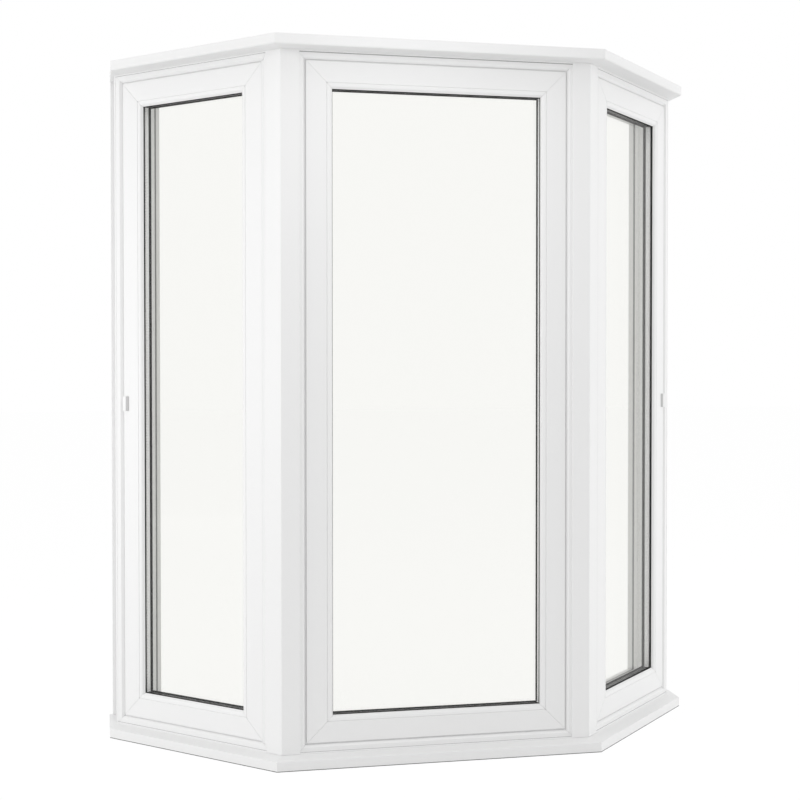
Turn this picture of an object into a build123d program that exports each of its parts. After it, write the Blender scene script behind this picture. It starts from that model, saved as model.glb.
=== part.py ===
from build123d import *
from math import cos, radians, sin, tan
import os

# Three-light canted bay window in white plastic profile, millimetres.
# +X runs to the right along the house wall as seen from outside, +Y into the house, +Z up.
# The origin is at the middle of the bounding box, on the underside of the sill.
# A light's own frame has x across the light, y into the room from the face of its outer frame.

# --- whole bay
overall_height = 2000.0        # underside of the sill to the top of the head board
bay_angle = 45.0               # turn between the centre light and a side light
centre_light_width = 806.0     # outer frame of the centre light
side_light_width = 576.0       # outer frame of each side light
wall_gap = 32.0                # from the inner end corner of a side light back to the house wall

# --- head board and sill
head_thickness = 29.0
head_overhang = 60.0           # beyond the face of the outer frames
head_end_overhang = 12.0       # beyond the wall jambs; the ends are cut square to the wall
head_edge_radius = 5.0         # soft lower edge of the fascia
sill_nose_height = 28.0
sill_top_height = 32.0         # where the frames stand on it
sill_overhang = 51.0
sill_end_overhang = 21.0
sill_nose_radius = 3.5         # lower edge of the nose
board_edge_radius = 1.5        # upper edge of the fascia

# --- outer frames
frame_depth = 100.0
frame_flat = 16.0              # flat face beside the sash
frame_bevel = 7.0              # sloped inner edge of that face
stop_width = 18.0              # leg behind the sash's edge
stop_thickness = 20.0
stop_play = 2.0                # between the leg and the step in the sash
sash_gap = 4.0

# --- sashes
sash_recess = 3.0              # behind the face of the outer frame
sash_flat = 58.0               # flat part of a rail or stile
sash_slope = 14.0              # sloped part next to the glass
slope_drop = 7.0
lip_width = 2.0
lip_thickness = 3.0
sash_edge_radius = 1.5
edge_cover = 14.0              # how far the lip covers the rebate for the glass

# --- sealed glass units, gaskets and glazing beads
pane_thickness = 4.0
cavity = 16.0
pane_clearance = 2.0           # between a pane's edge and the rebate
spacer_height = 10.5
outer_gasket_thickness = 3.0
inner_gasket_thickness = 4.0
gasket_height = 9.0
gasket_stand_out = 1.5         # beyond the lip, into the clear glass
bead_foot = 14.0               # width of the bead's foot in the sash
bead_foot_depth = 10.0
bead_slope = 16.0              # how far the bead falls back towards the room
bead_edge = 11.0               # flat edge left at the bead's room side

# --- corner posts, wall jambs and cover strips
post_inner_edge = 1.2          # play left between the frames' inner arrises and the post, each side
cover_lap = 8.0                # cover over the frames, outside
cover_thickness = 4.0
cover_radius = 1.5
inner_cover_width = 20.0       # each leg of the cover inside
jamb_return = 3.0              # the jamb's outer side beyond the end of the side light
strip_width = 11.0             # cover strip beside each wall jamb
strip_thickness = 12.0

# --- hinge caps and inside handles
cap_width = 20.0
cap_height = 43.0
cap_inset = 1.0                # from the outer edge of the sash
cap_flat = 12.0                # level part of its front; the rest slopes down towards the glass
cap_stand_out = 2.8            # beyond the face of the outer frame
cap_slope_fall = 3.8
cap_drop = 8.5                 # below the middle of the sash
cap_end_radius = 1.5           # rounding of the flat's upper and lower edge
handle_plate = (28.0, 130.0, 9.0)
handle_plate_radius = 5.0
handle_neck_radius = 9.0
handle_neck_length = 22.0
handle_grip = (20.0, 120.0, 14.0)
handle_grip_radius = 5.0

# --- worked out from the sizes above
turn = radians(bay_angle)
half_turn_tan = tan(turn / 2)
frame_setback = frame_depth * half_turn_tan + post_inner_edge
corner_x = centre_light_width / 2 + frame_setback
side_end = frame_setback + side_light_width
frame_top = overall_height - head_thickness
frame_height = frame_top - sill_top_height
frame_face = frame_flat + frame_bevel
sash_setback = frame_face + sash_gap
stop_front = frame_depth - stop_thickness
sash_back = frame_depth        # flush with the frame on the room side
sash_step = stop_width + stop_play - sash_gap
sash_width = sash_flat + sash_slope + lip_width
lip_front = sash_recess + slope_drop
lip_back = lip_front + lip_thickness
rebate = sash_width - edge_cover
unit_front = lip_back + outer_gasket_thickness
unit_thickness = 2 * pane_thickness + cavity
unit_back = unit_front + unit_thickness
bead_front = unit_back + inner_gasket_thickness
sash_height = frame_height - 2 * sash_setback
jamb_half_span = corner_x + side_end * cos(turn) + jamb_return
wall_line = side_end * sin(turn) + frame_depth * cos(turn) + wall_gap
head_half_length = jamb_half_span + head_end_overhang
sill_half_length = jamb_half_span + sill_end_overhang


def light_box(width, height, front, back, inset=0.0):
    """A box of the light, from one depth to another, drawn in by inset all round."""
    box = Box(width - 2 * inset, back - front, height - 2 * inset)
    return Pos(0, (front + back) / 2, 0) * box


def light_taper(width, height, front, back, front_inset, back_inset):
    """A four-sided taper of the light, between two depths with an inset each."""
    faces = []
    for depth, inset in ((front, front_inset), (back, back_inset)):
        outline = Rectangle(width - 2 * inset, height - 2 * inset)
        faces.append(Plane((0, depth, 0), x_dir=(1, 0, 0), z_dir=(0, -1, 0)) * outline)
    return loft(faces)


def ring(width, height, front, back, outer_inset, inner_inset):
    """A plain rectangular ring between two depths."""
    outer = light_box(width, height, front, back, outer_inset)
    return outer - light_box(width, height, front - 1, back + 1, inner_inset)


def outer_frame(width):
    """The fixed frame: a bevelled face, a rebate for the sash, and the stop leg behind it."""
    frame = light_box(width, frame_height, 0, frame_depth)
    frame -= light_taper(width, frame_height, 0, frame_bevel, frame_flat, frame_face)
    frame -= light_box(width, frame_height, frame_bevel, stop_front, frame_face)
    return frame - light_box(width, frame_height, stop_front, frame_depth + 1, frame_face + stop_width)


def sash(width):
    """The opening leaf: flat face, slope and lip to the glass, seat for the bead, step to the stop."""
    body = light_box(width, sash_height, sash_recess, stop_front)
    front_edges = body.edges().filter_by_position(Axis.Y, sash_recess - 0.1, sash_recess + 0.1)
    body = fillet(front_edges, sash_edge_radius)
    body += light_box(width, sash_height, stop_front, sash_back, sash_step)
    slope_start = sash_flat
    slope_end = sash_flat + sash_slope
    body -= light_taper(width, sash_height, sash_recess, lip_front, slope_start, slope_end)
    body -= light_box(width, sash_height, lip_front, lip_back, sash_width)
    body -= light_box(width, sash_height, lip_back, bead_front + bead_foot_depth, rebate)
    seat = rebate - bead_foot
    return body - light_box(width, sash_height, bead_front + bead_foot_depth, sash_back + 1, seat)


def glazing_bead(width):
    """The bead that holds the glass from inside; its face falls back towards the room."""
    seat = rebate - bead_foot
    foot_front = bead_front + bead_foot_depth
    bead = light_box(width, sash_height, bead_front, foot_front, rebate)
    bead += light_box(width, sash_height, foot_front, sash_back, seat)
    edge = seat + bead_edge
    bead -= light_taper(width, sash_height, bead_front, stop_front, edge + bead_slope, edge)
    return bead - light_box(width, sash_height, stop_front, sash_back + 1, edge)


def pane(width, front):
    """One sheet of glass with its front face at the given depth."""
    return light_box(width, sash_height, front, front + pane_thickness, rebate + pane_clearance)


def spacer(width):
    """The spacer bar between the two sheets."""
    start = rebate + pane_clearance + 1.0
    front = unit_front + pane_thickness
    return ring(width, sash_height, front, front + cavity, start, start + spacer_height)


def gasket(width, front, thickness):
    """A gasket beside the glass that stands a little beyond the lip."""
    end = sash_width + gasket_stand_out
    return ring(width, sash_height, front, front + thickness, end - gasket_height, end)


def hinge_cap(width, side):
    """The cap over the middle hinge; side is +1 or -1, the light's edge that it stands at."""
    edge = width / 2 - sash_setback - cap_inset
    front = -cap_stand_out
    outline = [(0, sash_recess), (0, front), (cap_flat, front), (cap_width, front + cap_slope_fall),
               (cap_width, sash_recess)]
    middle = -cap_drop
    points = [(side * (edge - across), depth) for across, depth in outline]
    cap = upright(points, middle - cap_height / 2, middle + cap_height / 2)
    ends = cap.edges().group_by(Axis.Y)[0].filter_by(Axis.X)
    return fillet(ends, cap_end_radius)


def handle(width, side):
    """The inside handle on the back of the sash: plate, neck and a grip that hangs down."""
    plate_width, plate_height, plate_thickness = handle_plate
    grip_width, grip_length, grip_thickness = handle_grip
    x = side * (width / 2 - sash_setback - (sash_step + rebate - bead_foot) / 2)
    plate = Box(plate_width, plate_thickness, plate_height)
    plate = fillet(plate.edges().filter_by(Axis.Y), handle_plate_radius)
    neck = Cylinder(handle_neck_radius, handle_neck_length, rotation=(90, 0, 0))
    neck_centre = plate_thickness + handle_neck_length / 2
    grip = Box(grip_width, grip_thickness, grip_length)
    grip = fillet(grip.edges().filter_by(Axis.Y), handle_grip_radius)
    grip_depth = plate_thickness + handle_neck_length
    grip_drop = grip_length / 2 - grip_width / 2
    parts = Pos(0, plate_thickness / 2, 0) * plate
    parts += Pos(0, neck_centre, 0) * neck
    parts += Pos(0, grip_depth, -grip_drop) * grip
    return Pos(x, sash_back, 0) * parts


def side_point(side, along, depth):
    """Plan point of a side light: along from the frame corner, depth in from the frame face."""
    x = corner_x + along * cos(turn) - depth * sin(turn)
    return (side * x, along * sin(turn) + depth * cos(turn))


def corner_point(side, depth):
    """Plan point on the mitre of a bay corner at the given depth."""
    return (side * (corner_x - depth * half_turn_tan), depth)


def upright(points, bottom, top):
    """A solid of a plan outline between two heights."""
    outline = make_face(Polyline(*points, close=True))
    return extrude(Pos(0, 0, bottom) * outline, amount=top - bottom, dir=(0, 0, 1))


def side_board_plan(side, overhang, half_length):
    """Plan of a head board or sill over a side light, mitred at the corner, square to the wall."""
    front_along = (half_length - corner_x - overhang * sin(turn)) / cos(turn)
    inner_end = side_point(side, side_end, frame_depth)
    return [
        corner_point(side, -overhang),
        side_point(side, front_along, -overhang),
        (side * half_length, wall_line),
        (inner_end[0], wall_line),
        inner_end,
        corner_point(side, frame_depth),
    ]


def centre_board_plan(overhang):
    """Plan of a head board or sill over the centre light, between the two mitres."""
    return [
        corner_point(-1, -overhang),
        corner_point(1, -overhang),
        corner_point(1, frame_depth),
        corner_point(-1, frame_depth),
    ]


def nose_edges(board, normal, height):
    """The edge along a board's nose at one height; normal points out of the nose."""
    level = board.edges().filter_by_position(Axis.Z, height - 0.01, height + 0.01)
    reach = max(edge.center().dot(normal) for edge in level)
    return level.filter_by(lambda edge: edge.center().dot(normal) > reach - 0.01)


def head_board(points, normal):
    """One length of the head board, with a soft lower edge to its fascia."""
    board = upright(points, frame_top, overall_height)
    board = fillet(nose_edges(board, normal, frame_top), head_edge_radius)
    return fillet(nose_edges(board, normal, overall_height), board_edge_radius)


def sill_board(points, normal):
    """One length of sill: its top is flat under the frame and falls to the nose."""
    board = upright(points, 0, sill_top_height)
    fall = sill_top_height - sill_nose_height
    wedge = Polyline((0, 0), (2 * sill_overhang, 0), (2 * sill_overhang, -2 * fall), close=True)
    along = Vector(0, 0, 1).cross(normal)
    start = normal * corner_point(1, 0)[0] * abs(normal.X) + Vector(0, 0, sill_top_height)
    section = Plane(start, x_dir=normal, z_dir=along) * make_face(wedge)
    board -= extrude(section, amount=sill_half_length, both=True)
    return fillet(nose_edges(board, normal, 0), sill_nose_radius)


def bay_post(side):
    """A corner post: fills the wedge between two frames, with covers over both outside and inside."""
    joint = frame_setback + cover_lap
    inner_joint = frame_setback + inner_cover_width
    inside = frame_depth + cover_thickness
    points = [
        (side * (corner_x - joint), 0),
        (side * (corner_x - joint), -cover_thickness),
        corner_point(side, -cover_thickness),
        side_point(side, joint, -cover_thickness),
        side_point(side, joint, 0),
        side_point(side, frame_setback, 0),
        side_point(side, frame_setback, frame_depth),
        side_point(side, inner_joint, frame_depth),
        side_point(side, inner_joint, inside),
        corner_point(side, inside),
        (side * (corner_x - inner_joint), inside),
        (side * (corner_x - inner_joint), frame_depth),
        (side * (corner_x - frame_setback), frame_depth),
        (side * (corner_x - frame_setback), 0),
    ]
    post = upright(points, sill_top_height, frame_top)
    outward = Vector(side * sin(turn / 2), -cos(turn / 2), 0)
    arris = post.edges().filter_by(Axis.Z).sort_by(lambda edge: edge.center().dot(outward))[-1]
    return fillet(arris, cover_radius)


def wall_jamb(side):
    """The jamb between a side light's end and the house wall."""
    face_along = (jamb_half_span - corner_x) / cos(turn)
    inner_end = side_point(side, side_end, frame_depth)
    points = [
        side_point(side, side_end, 0),
        side_point(side, face_along, 0),
        (side * jamb_half_span, wall_line),
        (inner_end[0], wall_line),
        inner_end,
    ]
    return upright(points, sill_top_height, frame_top)


def cover_strip(side):
    """The strip that covers the joint between a wall jamb and the wall."""
    points = [
        (side * jamb_half_span, wall_line - strip_thickness),
        (side * (jamb_half_span + strip_width), wall_line - strip_thickness),
        (side * (jamb_half_span + strip_width), wall_line),
        (side * jamb_half_span, wall_line),
    ]
    return upright(points, sill_top_height, frame_top)


def light_parts(name, width, place):
    """Every piece of one light, in place, by node name."""
    pieces = {
        "frame_" + name: outer_frame(width),
    }
    leaf = width - 2 * sash_setback
    pieces["sash_" + name] = sash(leaf)
    pieces["outer_pane_" + name] = pane(leaf, unit_front)
    pieces["inner_pane_" + name] = pane(leaf, unit_back - pane_thickness)
    pieces["spacer_" + name] = spacer(leaf)
    pieces["outer_gasket_" + name] = gasket(leaf, lip_back, outer_gasket_thickness)
    pieces["inner_gasket_" + name] = gasket(leaf, unit_back, inner_gasket_thickness)
    pieces["glazing_bead_" + name] = glazing_bead(leaf)
    return {node: place * solid for node, solid in pieces.items()}


middle = sill_top_height + frame_height / 2
side_middle = frame_setback + side_light_width / 2
left_place = Location((*side_point(-1, side_middle, 0), middle), (0, 0, -bay_angle))
centre_place = Location((0, 0, middle))
right_place = Location((*side_point(1, side_middle, 0), middle), (0, 0, bay_angle))

centre_front = Vector(0, -1, 0)
left_front = Vector(-sin(turn), -cos(turn), 0)
right_front = Vector(sin(turn), -cos(turn), 0)

nodes = {
    "head_board_left": head_board(side_board_plan(-1, head_overhang, head_half_length), left_front),
    "head_board_centre": head_board(centre_board_plan(head_overhang), centre_front),
    "head_board_right": head_board(side_board_plan(1, head_overhang, head_half_length), right_front),
    "sill_left": sill_board(side_board_plan(-1, sill_overhang, sill_half_length), left_front),
    "sill_centre": sill_board(centre_board_plan(sill_overhang), centre_front),
    "sill_right": sill_board(side_board_plan(1, sill_overhang, sill_half_length), right_front),
    "bay_post_left": bay_post(-1),
    "bay_post_right": bay_post(1),
    "wall_jamb_left": wall_jamb(-1),
    "wall_jamb_right": wall_jamb(1),
    "cover_strip_left": cover_strip(-1),
    "cover_strip_right": cover_strip(1),
}
nodes.update(light_parts("left", side_light_width, left_place))
nodes.update(light_parts("centre", centre_light_width, centre_place))
nodes.update(light_parts("right", side_light_width, right_place))
nodes["hinge_cap_left"] = left_place * hinge_cap(side_light_width, -1)
nodes["hinge_cap_right"] = right_place * hinge_cap(side_light_width, 1)
nodes["handle_left"] = left_place * handle(side_light_width, 1)
nodes["handle_centre"] = centre_place * handle(centre_light_width, 1)
nodes["handle_right"] = right_place * handle(side_light_width, -1)

# The origin stands at the middle of the bounding box in X and Y, on the underside of the sill.
bay_front = -max(head_overhang, sill_overhang)
to_origin = Pos(0, -(bay_front + wall_line) / 2, 0)

os.makedirs("parts", exist_ok=True)
for node, solid in nodes.items():
    export_step(to_origin * solid, f"parts/{node}.step")
    print(f"{node}: {solid.volume / 1000:.1f} cm3")
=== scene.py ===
"""A white canted bay window: three lights, corner posts, wall jambs, a head board and a sill.

Lengths are millimetres until a mesh, lamp or camera is made. A light's own space has x across the light,
depth into the room from the face of its outer frame, and z up from its middle. An outline is a flat line of
points; a profile gives (inset, depth) pairs, where the inset runs from the outer edge towards the glass. A
corner is the two coordinates and the radius that it is rounded to.
"""
from __future__ import annotations

import logging
from abc import ABC, abstractmethod
from dataclasses import dataclass
from enum import Enum
from functools import cache
from typing import Any, Iterable

import bpy
import numpy as np
from mathutils import Matrix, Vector
from numpy.typing import NDArray

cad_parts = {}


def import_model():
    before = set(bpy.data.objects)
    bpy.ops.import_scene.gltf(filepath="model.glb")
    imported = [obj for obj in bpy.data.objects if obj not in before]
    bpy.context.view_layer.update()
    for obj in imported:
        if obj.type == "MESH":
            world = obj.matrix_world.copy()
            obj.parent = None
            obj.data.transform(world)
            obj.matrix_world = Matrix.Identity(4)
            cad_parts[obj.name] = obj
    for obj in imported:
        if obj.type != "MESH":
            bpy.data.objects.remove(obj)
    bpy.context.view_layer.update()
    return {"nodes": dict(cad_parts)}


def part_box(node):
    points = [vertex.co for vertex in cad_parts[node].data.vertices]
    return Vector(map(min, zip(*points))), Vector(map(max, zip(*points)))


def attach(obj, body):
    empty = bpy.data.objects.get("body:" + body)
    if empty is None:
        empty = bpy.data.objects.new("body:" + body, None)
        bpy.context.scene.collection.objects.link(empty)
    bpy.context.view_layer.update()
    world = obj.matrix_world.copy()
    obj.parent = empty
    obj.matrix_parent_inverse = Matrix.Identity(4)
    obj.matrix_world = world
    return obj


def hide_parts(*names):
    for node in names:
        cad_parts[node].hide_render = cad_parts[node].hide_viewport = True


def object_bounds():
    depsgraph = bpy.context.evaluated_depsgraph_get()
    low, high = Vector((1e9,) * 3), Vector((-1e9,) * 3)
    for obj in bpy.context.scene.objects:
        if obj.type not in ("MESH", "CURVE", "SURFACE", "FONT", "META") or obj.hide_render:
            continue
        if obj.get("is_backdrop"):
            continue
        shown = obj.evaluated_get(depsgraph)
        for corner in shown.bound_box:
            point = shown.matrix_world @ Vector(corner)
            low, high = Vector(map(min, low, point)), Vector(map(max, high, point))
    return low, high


Array = NDArray[np.float64]
Point = tuple[float, float]
Corner = tuple[float, float, float]
Value = Any  # a Wire, or what a socket's default_value takes

MM = 0.001
BAY_ANGLE = 45.0  # the turn of the side lights, in degrees
FINE = 0.3  # the rounding of an edge that only has to catch the light, in millimetres
ASKEW = (0.3, 0.5, 0.81)  # a direction that no flat end is square to
BODY = "root"
RUN_MAP = "Run"
log = logging.getLogger("bay_window")


class Side(Enum):
    """The three lights and the sign of the side that each stands on."""

    LEFT = -1
    CENTRE = 0
    RIGHT = 1

    @property
    def word(self) -> str:
        """The side's name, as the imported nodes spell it."""
        return self.name.lower()


class Slot(Enum):
    """The record's material slots."""

    PROFILE = "white_profile"
    BOARD = "white_board"
    CAP = "white_cap"
    HANDLE = "white_handle"
    GLASS = "clear_glass"
    SPACER = "spacer_bar"
    GASKET = "black_gasket"


# ---------------------------------------------------------------- outlines and surfaces


def cross(first: Array, second: Array) -> Array:
    """The flat cross product of two arrays of directions."""
    return first[..., 0] * second[..., 1] - first[..., 1] * second[..., 0]


def unit(vectors: Array) -> Array:
    """The vectors at length one; a vector of no length stays as it is."""
    length = np.linalg.norm(vectors, axis=-1, keepdims=True)
    return vectors / np.maximum(length, 1e-12)


@dataclass(frozen=True)
class Outline:
    """A flat line of points with the outward normal just before and just after each point."""

    points: Array
    before: Array
    after: Array
    closed: bool = True
    cut: Array | None = None

    @property
    def mitre(self) -> Array:
        """How far a point moves when both its sides move outwards by one: the sum of the two normals over
        one plus their dot product, or the line that the bar is cut along."""
        dot = np.sum(self.before * self.after, axis=1, keepdims=True)
        return (self.before + self.after) / (1 + dot) if self.cut is None else self.cut

    @property
    def travel(self) -> Array:
        """The distance along the line to each point, and on to the end of the last run."""
        steps = np.linalg.norm(np.roll(self.points, -1, axis=0) - self.points, axis=1)
        return np.concatenate([[0.0], np.cumsum(steps)])

    @property
    def runs(self) -> int:
        """The number of straight runs between the points."""
        return len(self.points) - (0 if self.closed else 1)


def rounded(corners: Iterable[Corner], closed: bool = True, steps: int = 5) -> Outline:
    """An outline whose corners are arcs.

    An arc of radius r starts r * tan(turn / 2) before its corner. Its normal turns evenly from the normal
    of the run before to that of the run after, and its points stand r along that normal from its centre.

    Args:
        corners: x, y and radius of each corner, anticlockwise; a radius of 0 keeps the corner sharp.
        closed: whether the last corner runs on to the first.
        steps: straight steps in each arc.

    Returns:
        The outline, with the normal of a run (dx, dy) at (dy, -dx).
    """
    table = np.array(list(corners), float)
    point, radius = table[:, :2], table[:, 2]
    ahead = np.roll(point, -1, axis=0) - point
    if not closed:
        ahead[-1] = ahead[-2]
    ahead = unit(ahead)
    behind = np.roll(ahead, 1, axis=0)
    if not closed:
        behind[0] = ahead[0]
    turn = np.arctan2(cross(behind, ahead), np.sum(behind * ahead, axis=1))
    normal = np.stack([behind[:, 1], -behind[:, 0]], axis=1)
    normal_ahead = np.stack([ahead[:, 1], -ahead[:, 0]], axis=1)
    share = np.linspace(0, 1, steps + 1)
    angle = (turn[:, None] * share)[..., None]
    radial = normal[:, None] * np.cos(angle) + behind[:, None] * np.sin(angle)
    bend = (np.sign(turn) * radius)[:, None]
    start = point - behind * (radius * np.tan(np.abs(turn) / 2))[:, None]
    arc = (start - normal * bend)[:, None] + radial * bend[:, None]
    curved = radius > 0
    kept = curved[:, None] | (share == 0)[None, :]
    after = np.where(curved[:, None, None], radial, normal_ahead[:, None])
    return Outline(arc[kept], radial[kept], after[kept], closed)


def is_clockwise(corners: list[Corner] | list[Point]) -> bool:
    """Whether corners go round clockwise: the cross products of neighbours sum to less than zero."""
    table = np.array(corners, float)[:, :2]
    return float(np.sum(cross(table, np.roll(table, -1, axis=0)))) < 0


def anticlockwise(corners: list[Corner]) -> list[Corner]:
    """The corners in the order that goes round anticlockwise."""
    return corners[::-1] if is_clockwise(corners) else corners


def rectangle(width: float, height: float, radius: float) -> list[Corner]:
    """The corners of a rectangle about the zero point, each rounded to one radius."""
    return [(across * width / 2, up * height / 2, radius)
            for across, up in ((-1, -1), (1, -1), (1, 1), (-1, 1))]


def circle(radius: float, count: int = 40) -> Outline:
    """A circle about the zero point: radius times the cosine and sine of evenly spaced angles.

    Args:
        radius: its radius.
        count: how many points it has.

    Returns:
        The closed outline.
    """
    angle = np.arange(count) * 2 * np.pi / count
    normal = np.stack([np.cos(angle), np.sin(angle)], axis=1)
    return Outline(normal * radius, normal, normal)


def rim(front: float, back: float, front_radius: float, back_radius: float = 0.0) -> Outline:
    """The open profile of a plate's edge, from its face at one depth to its back at another.

    Args:
        front: depth that the profile starts from, the larger number.
        back: depth that it ends at.
        front_radius: rounding at the start.
        back_radius: rounding at the end.

    Returns:
        The profile, with a narrow flat flange inside each rounding for the end faces to join.
    """
    flange = 0.3
    corners = [(front_radius + flange, front, 0.0)] if front_radius else []
    corners += [(0.0, front, front_radius), (0.0, back, back_radius)]
    corners += [(back_radius + flange, back, 0.0)] if back_radius else []
    return rounded(corners, closed=False)


class Facing(Enum):
    """The planes that an outline can lie in: its two directions, and the direction it is carried in."""

    UPRIGHT = ((1.0, 0.0, 0.0), (0.0, 0.0, 1.0), (0.0, 1.0, 0.0))
    PLAN = ((1.0, 0.0, 0.0), (0.0, 1.0, 0.0), (0.0, 0.0, 1.0))

    @property
    def plane(self) -> Array:
        """The two directions of the plane, one in each row."""
        return np.array(self.value[:2])

    @property
    def normal(self) -> Array:
        """The direction square to the plane."""
        return np.array(self.value[2])


@dataclass(frozen=True)
class Place:
    """Where a light stands: the middle of its face in plan, the height of its middle, and its turn."""

    x: float
    y: float
    z: float
    turn: float

    @property
    def matrix(self) -> Array:
        """The turn about the upright line, for points in rows."""
        c, s = np.cos(self.turn), np.sin(self.turn)
        return np.array([[c, s, 0.0], [-s, c, 0.0], [0.0, 0.0, 1.0]])


@dataclass
class Surface:
    """A mesh as arrays: points, faces, and a normal and a run map for each corner of each face.

    The run map holds the distance along a piece and the distance round its section, in metres.
    """

    points: Array
    faces: list[list[int]]
    normals: Array
    runs: Array

    @classmethod
    def joined(cls, parts: list[Surface]) -> Surface:
        """Several surfaces as one.

        Args:
            parts: the surfaces, in order.

        Returns:
            One surface with all their points and faces.
        """
        starts = np.cumsum([0] + [len(part.points) for part in parts])
        faces = [[corner + int(start) for corner in face]
                 for part, start in zip(parts, starts) for face in part.faces]
        return cls(np.concatenate([part.points for part in parts]), faces,
                   np.concatenate([part.normals for part in parts]),
                   np.concatenate([part.runs for part in parts]))

    def moved(self, offset: tuple[float, float, float]) -> Surface:
        """The surface moved by an offset."""
        return Surface(self.points + np.array(offset), self.faces, self.normals, self.runs)

    def placed(self, place: Place) -> Surface:
        """The surface turned and moved from a light's own space into the part's."""
        points = self.points @ place.matrix + np.array([place.x, place.y, place.z])
        return Surface(points, self.faces, self.normals @ place.matrix, self.runs)

    def to_object(self, name: str) -> bpy.types.Object:
        """A Blender object at the origin, with the points in metres in its mesh.

        Args:
            name: the name of the object and of its mesh.

        Returns:
            The object, shaded by the surface's own normals.
        """
        mesh = bpy.data.meshes.new(name)
        mesh.from_pydata((self.points * MM).tolist(), [], self.faces)
        mesh.uv_layers.new(name=RUN_MAP).uv.foreach_set("vector", self.runs.astype(np.float32).ravel())
        mesh.polygons.foreach_set("use_smooth", np.ones(len(self.faces), bool))
        mesh.normals_split_custom_set(unit(self.normals).tolist())
        mesh.update()
        piece = bpy.data.objects.new(name, mesh)
        bpy.context.scene.collection.objects.link(piece)
        return piece


def quads(points: Array, index: Array, normals: Array, runs: Array) -> Surface:
    """A surface of four-sided faces, wound so that it faces the way that its normals point.

    Args:
        points: the grid's points, flattened.
        index: the four point numbers of each face, in order round it.
        normals: a normal for each of those corners.
        runs: a run map pair for each of those corners.

    Returns:
        The surface.
    """
    corner = points[index]
    flat = np.cross(corner[:, 2] - corner[:, 0], corner[:, 3] - corner[:, 1])
    inside_out = float(np.sum(flat * normals.mean(axis=1))) < 0
    order = [3, 2, 1, 0] if inside_out else [0, 1, 2, 3]
    return Surface(points, index[:, order].tolist(), normals[:, order].reshape(-1, 3),
                   runs[:, order].reshape(-1, 2))


def end_face(points: Array, ring: Array, normal: Array) -> Surface:
    """One flat face over a ring of points, wound to face along the normal given.

    Args:
        points: the points that the ring picks its own from.
        ring: the numbers of its points, in order round it.
        normal: the way that the face looks.

    Returns:
        The face, with no points of its own.
    """
    corner = points[ring]
    area = np.cross(corner - corner[0], np.roll(corner, -1, axis=0) - corner[0]).sum(axis=0)
    ring = ring[::-1] if float(area @ normal) < 0 else ring
    across = unit(np.cross(normal, ASKEW))
    flat = np.stack([points[ring] @ across, points[ring] @ np.cross(normal, across)], axis=1)
    return Surface(points[:0], [ring.tolist()], np.tile(normal, (len(ring), 1)), flat * MM)


def capped(body: Surface, ends: list[Surface]) -> Surface:
    """A surface with end faces that use its own points."""
    everything = [body, *ends]
    return Surface(body.points, [face for part in everything for face in part.faces],
                   np.concatenate([part.normals for part in everything]),
                   np.concatenate([part.runs for part in everything]))


def carried(profile: Outline, path: Outline, facing: Facing, sink: Array | None = None) -> Surface:
    """A profile carried along a path.

    A point of the surface is the path's point, moved inwards along the path's mitre by the profile's inset,
    and square to the path's plane by the profile's depth. Where the path sinks, the profile first shrinks
    by that much along its own mitres, which leaves the groove of a weld or of a joint.

    Args:
        profile: the section, as (inset, depth).
        path: the line that it follows.
        facing: the plane that the path lies in.
        sink: how much the profile shrinks at each point of the path.

    Returns:
        The surface, with flat ends where the profile or the path is open.
    """
    sink = np.zeros(len(path.points)) if sink is None else sink
    section = profile.points[None] - sink[:, None, None] * profile.mitre[None]
    flat = path.points[:, None] - path.mitre[:, None] * section[..., :1]
    grid = flat @ facing.plane + section[..., 1:] * facing.normal
    rows, columns = grid.shape[:2]
    points = grid.reshape(-1, 3)

    row, column = np.arange(path.runs), np.arange(profile.runs)
    next_row, next_column = (row + 1) % rows, (column + 1) % columns
    corner_rows = np.stack([row, next_row, next_row, row], axis=1)[:, None]
    corner_columns = np.stack([column, column, next_column, next_column], axis=1)[None]
    index = (corner_rows * columns + corner_columns).reshape(-1, 4)

    turn = np.stack([path.after[row], path.before[next_row], path.before[next_row], path.after[row]], axis=1)
    side = np.stack([profile.after[column], profile.after[column],
                     profile.before[next_column], profile.before[next_column]], axis=1)
    along = path.points[next_row] - path.points[row]
    tilt = (sink[next_row] - sink[row]) / np.linalg.norm(along, axis=1)
    lean = (unit(along) * tilt[:, None]) @ facing.plane
    normals = (-turn[:, None] * side[None, ..., :1]) @ facing.plane + side[None, ..., 1:] * facing.normal
    normals = unit(normals + lean[:, None, None])

    travel, girth = path.travel * MM, profile.travel * MM
    run_u = np.stack([travel[row], travel[row + 1], travel[row + 1], travel[row]], axis=1)[:, None]
    run_v = np.stack([girth[column], girth[column], girth[column + 1], girth[column + 1]], axis=1)[None]
    runs = np.stack(np.broadcast_arrays(run_u, run_v), axis=-1).reshape(-1, 4, 2)
    body = quads(points, index, normals.reshape(-1, 4, 3), runs)

    numbers = np.arange(rows * columns).reshape(rows, columns)
    ends = []
    if not profile.closed:
        rise = np.sign(profile.points[-1, 1] - profile.points[0, 1]) * facing.normal
        ends += [end_face(points, numbers[:, 0], -rise), end_face(points, numbers[:, -1], rise)]
    if not path.closed:
        heading = unit(along) @ facing.plane
        ends += [end_face(points, numbers[0], -heading[0]), end_face(points, numbers[-1], heading[-1])]
    return capped(body, ends)


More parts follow.
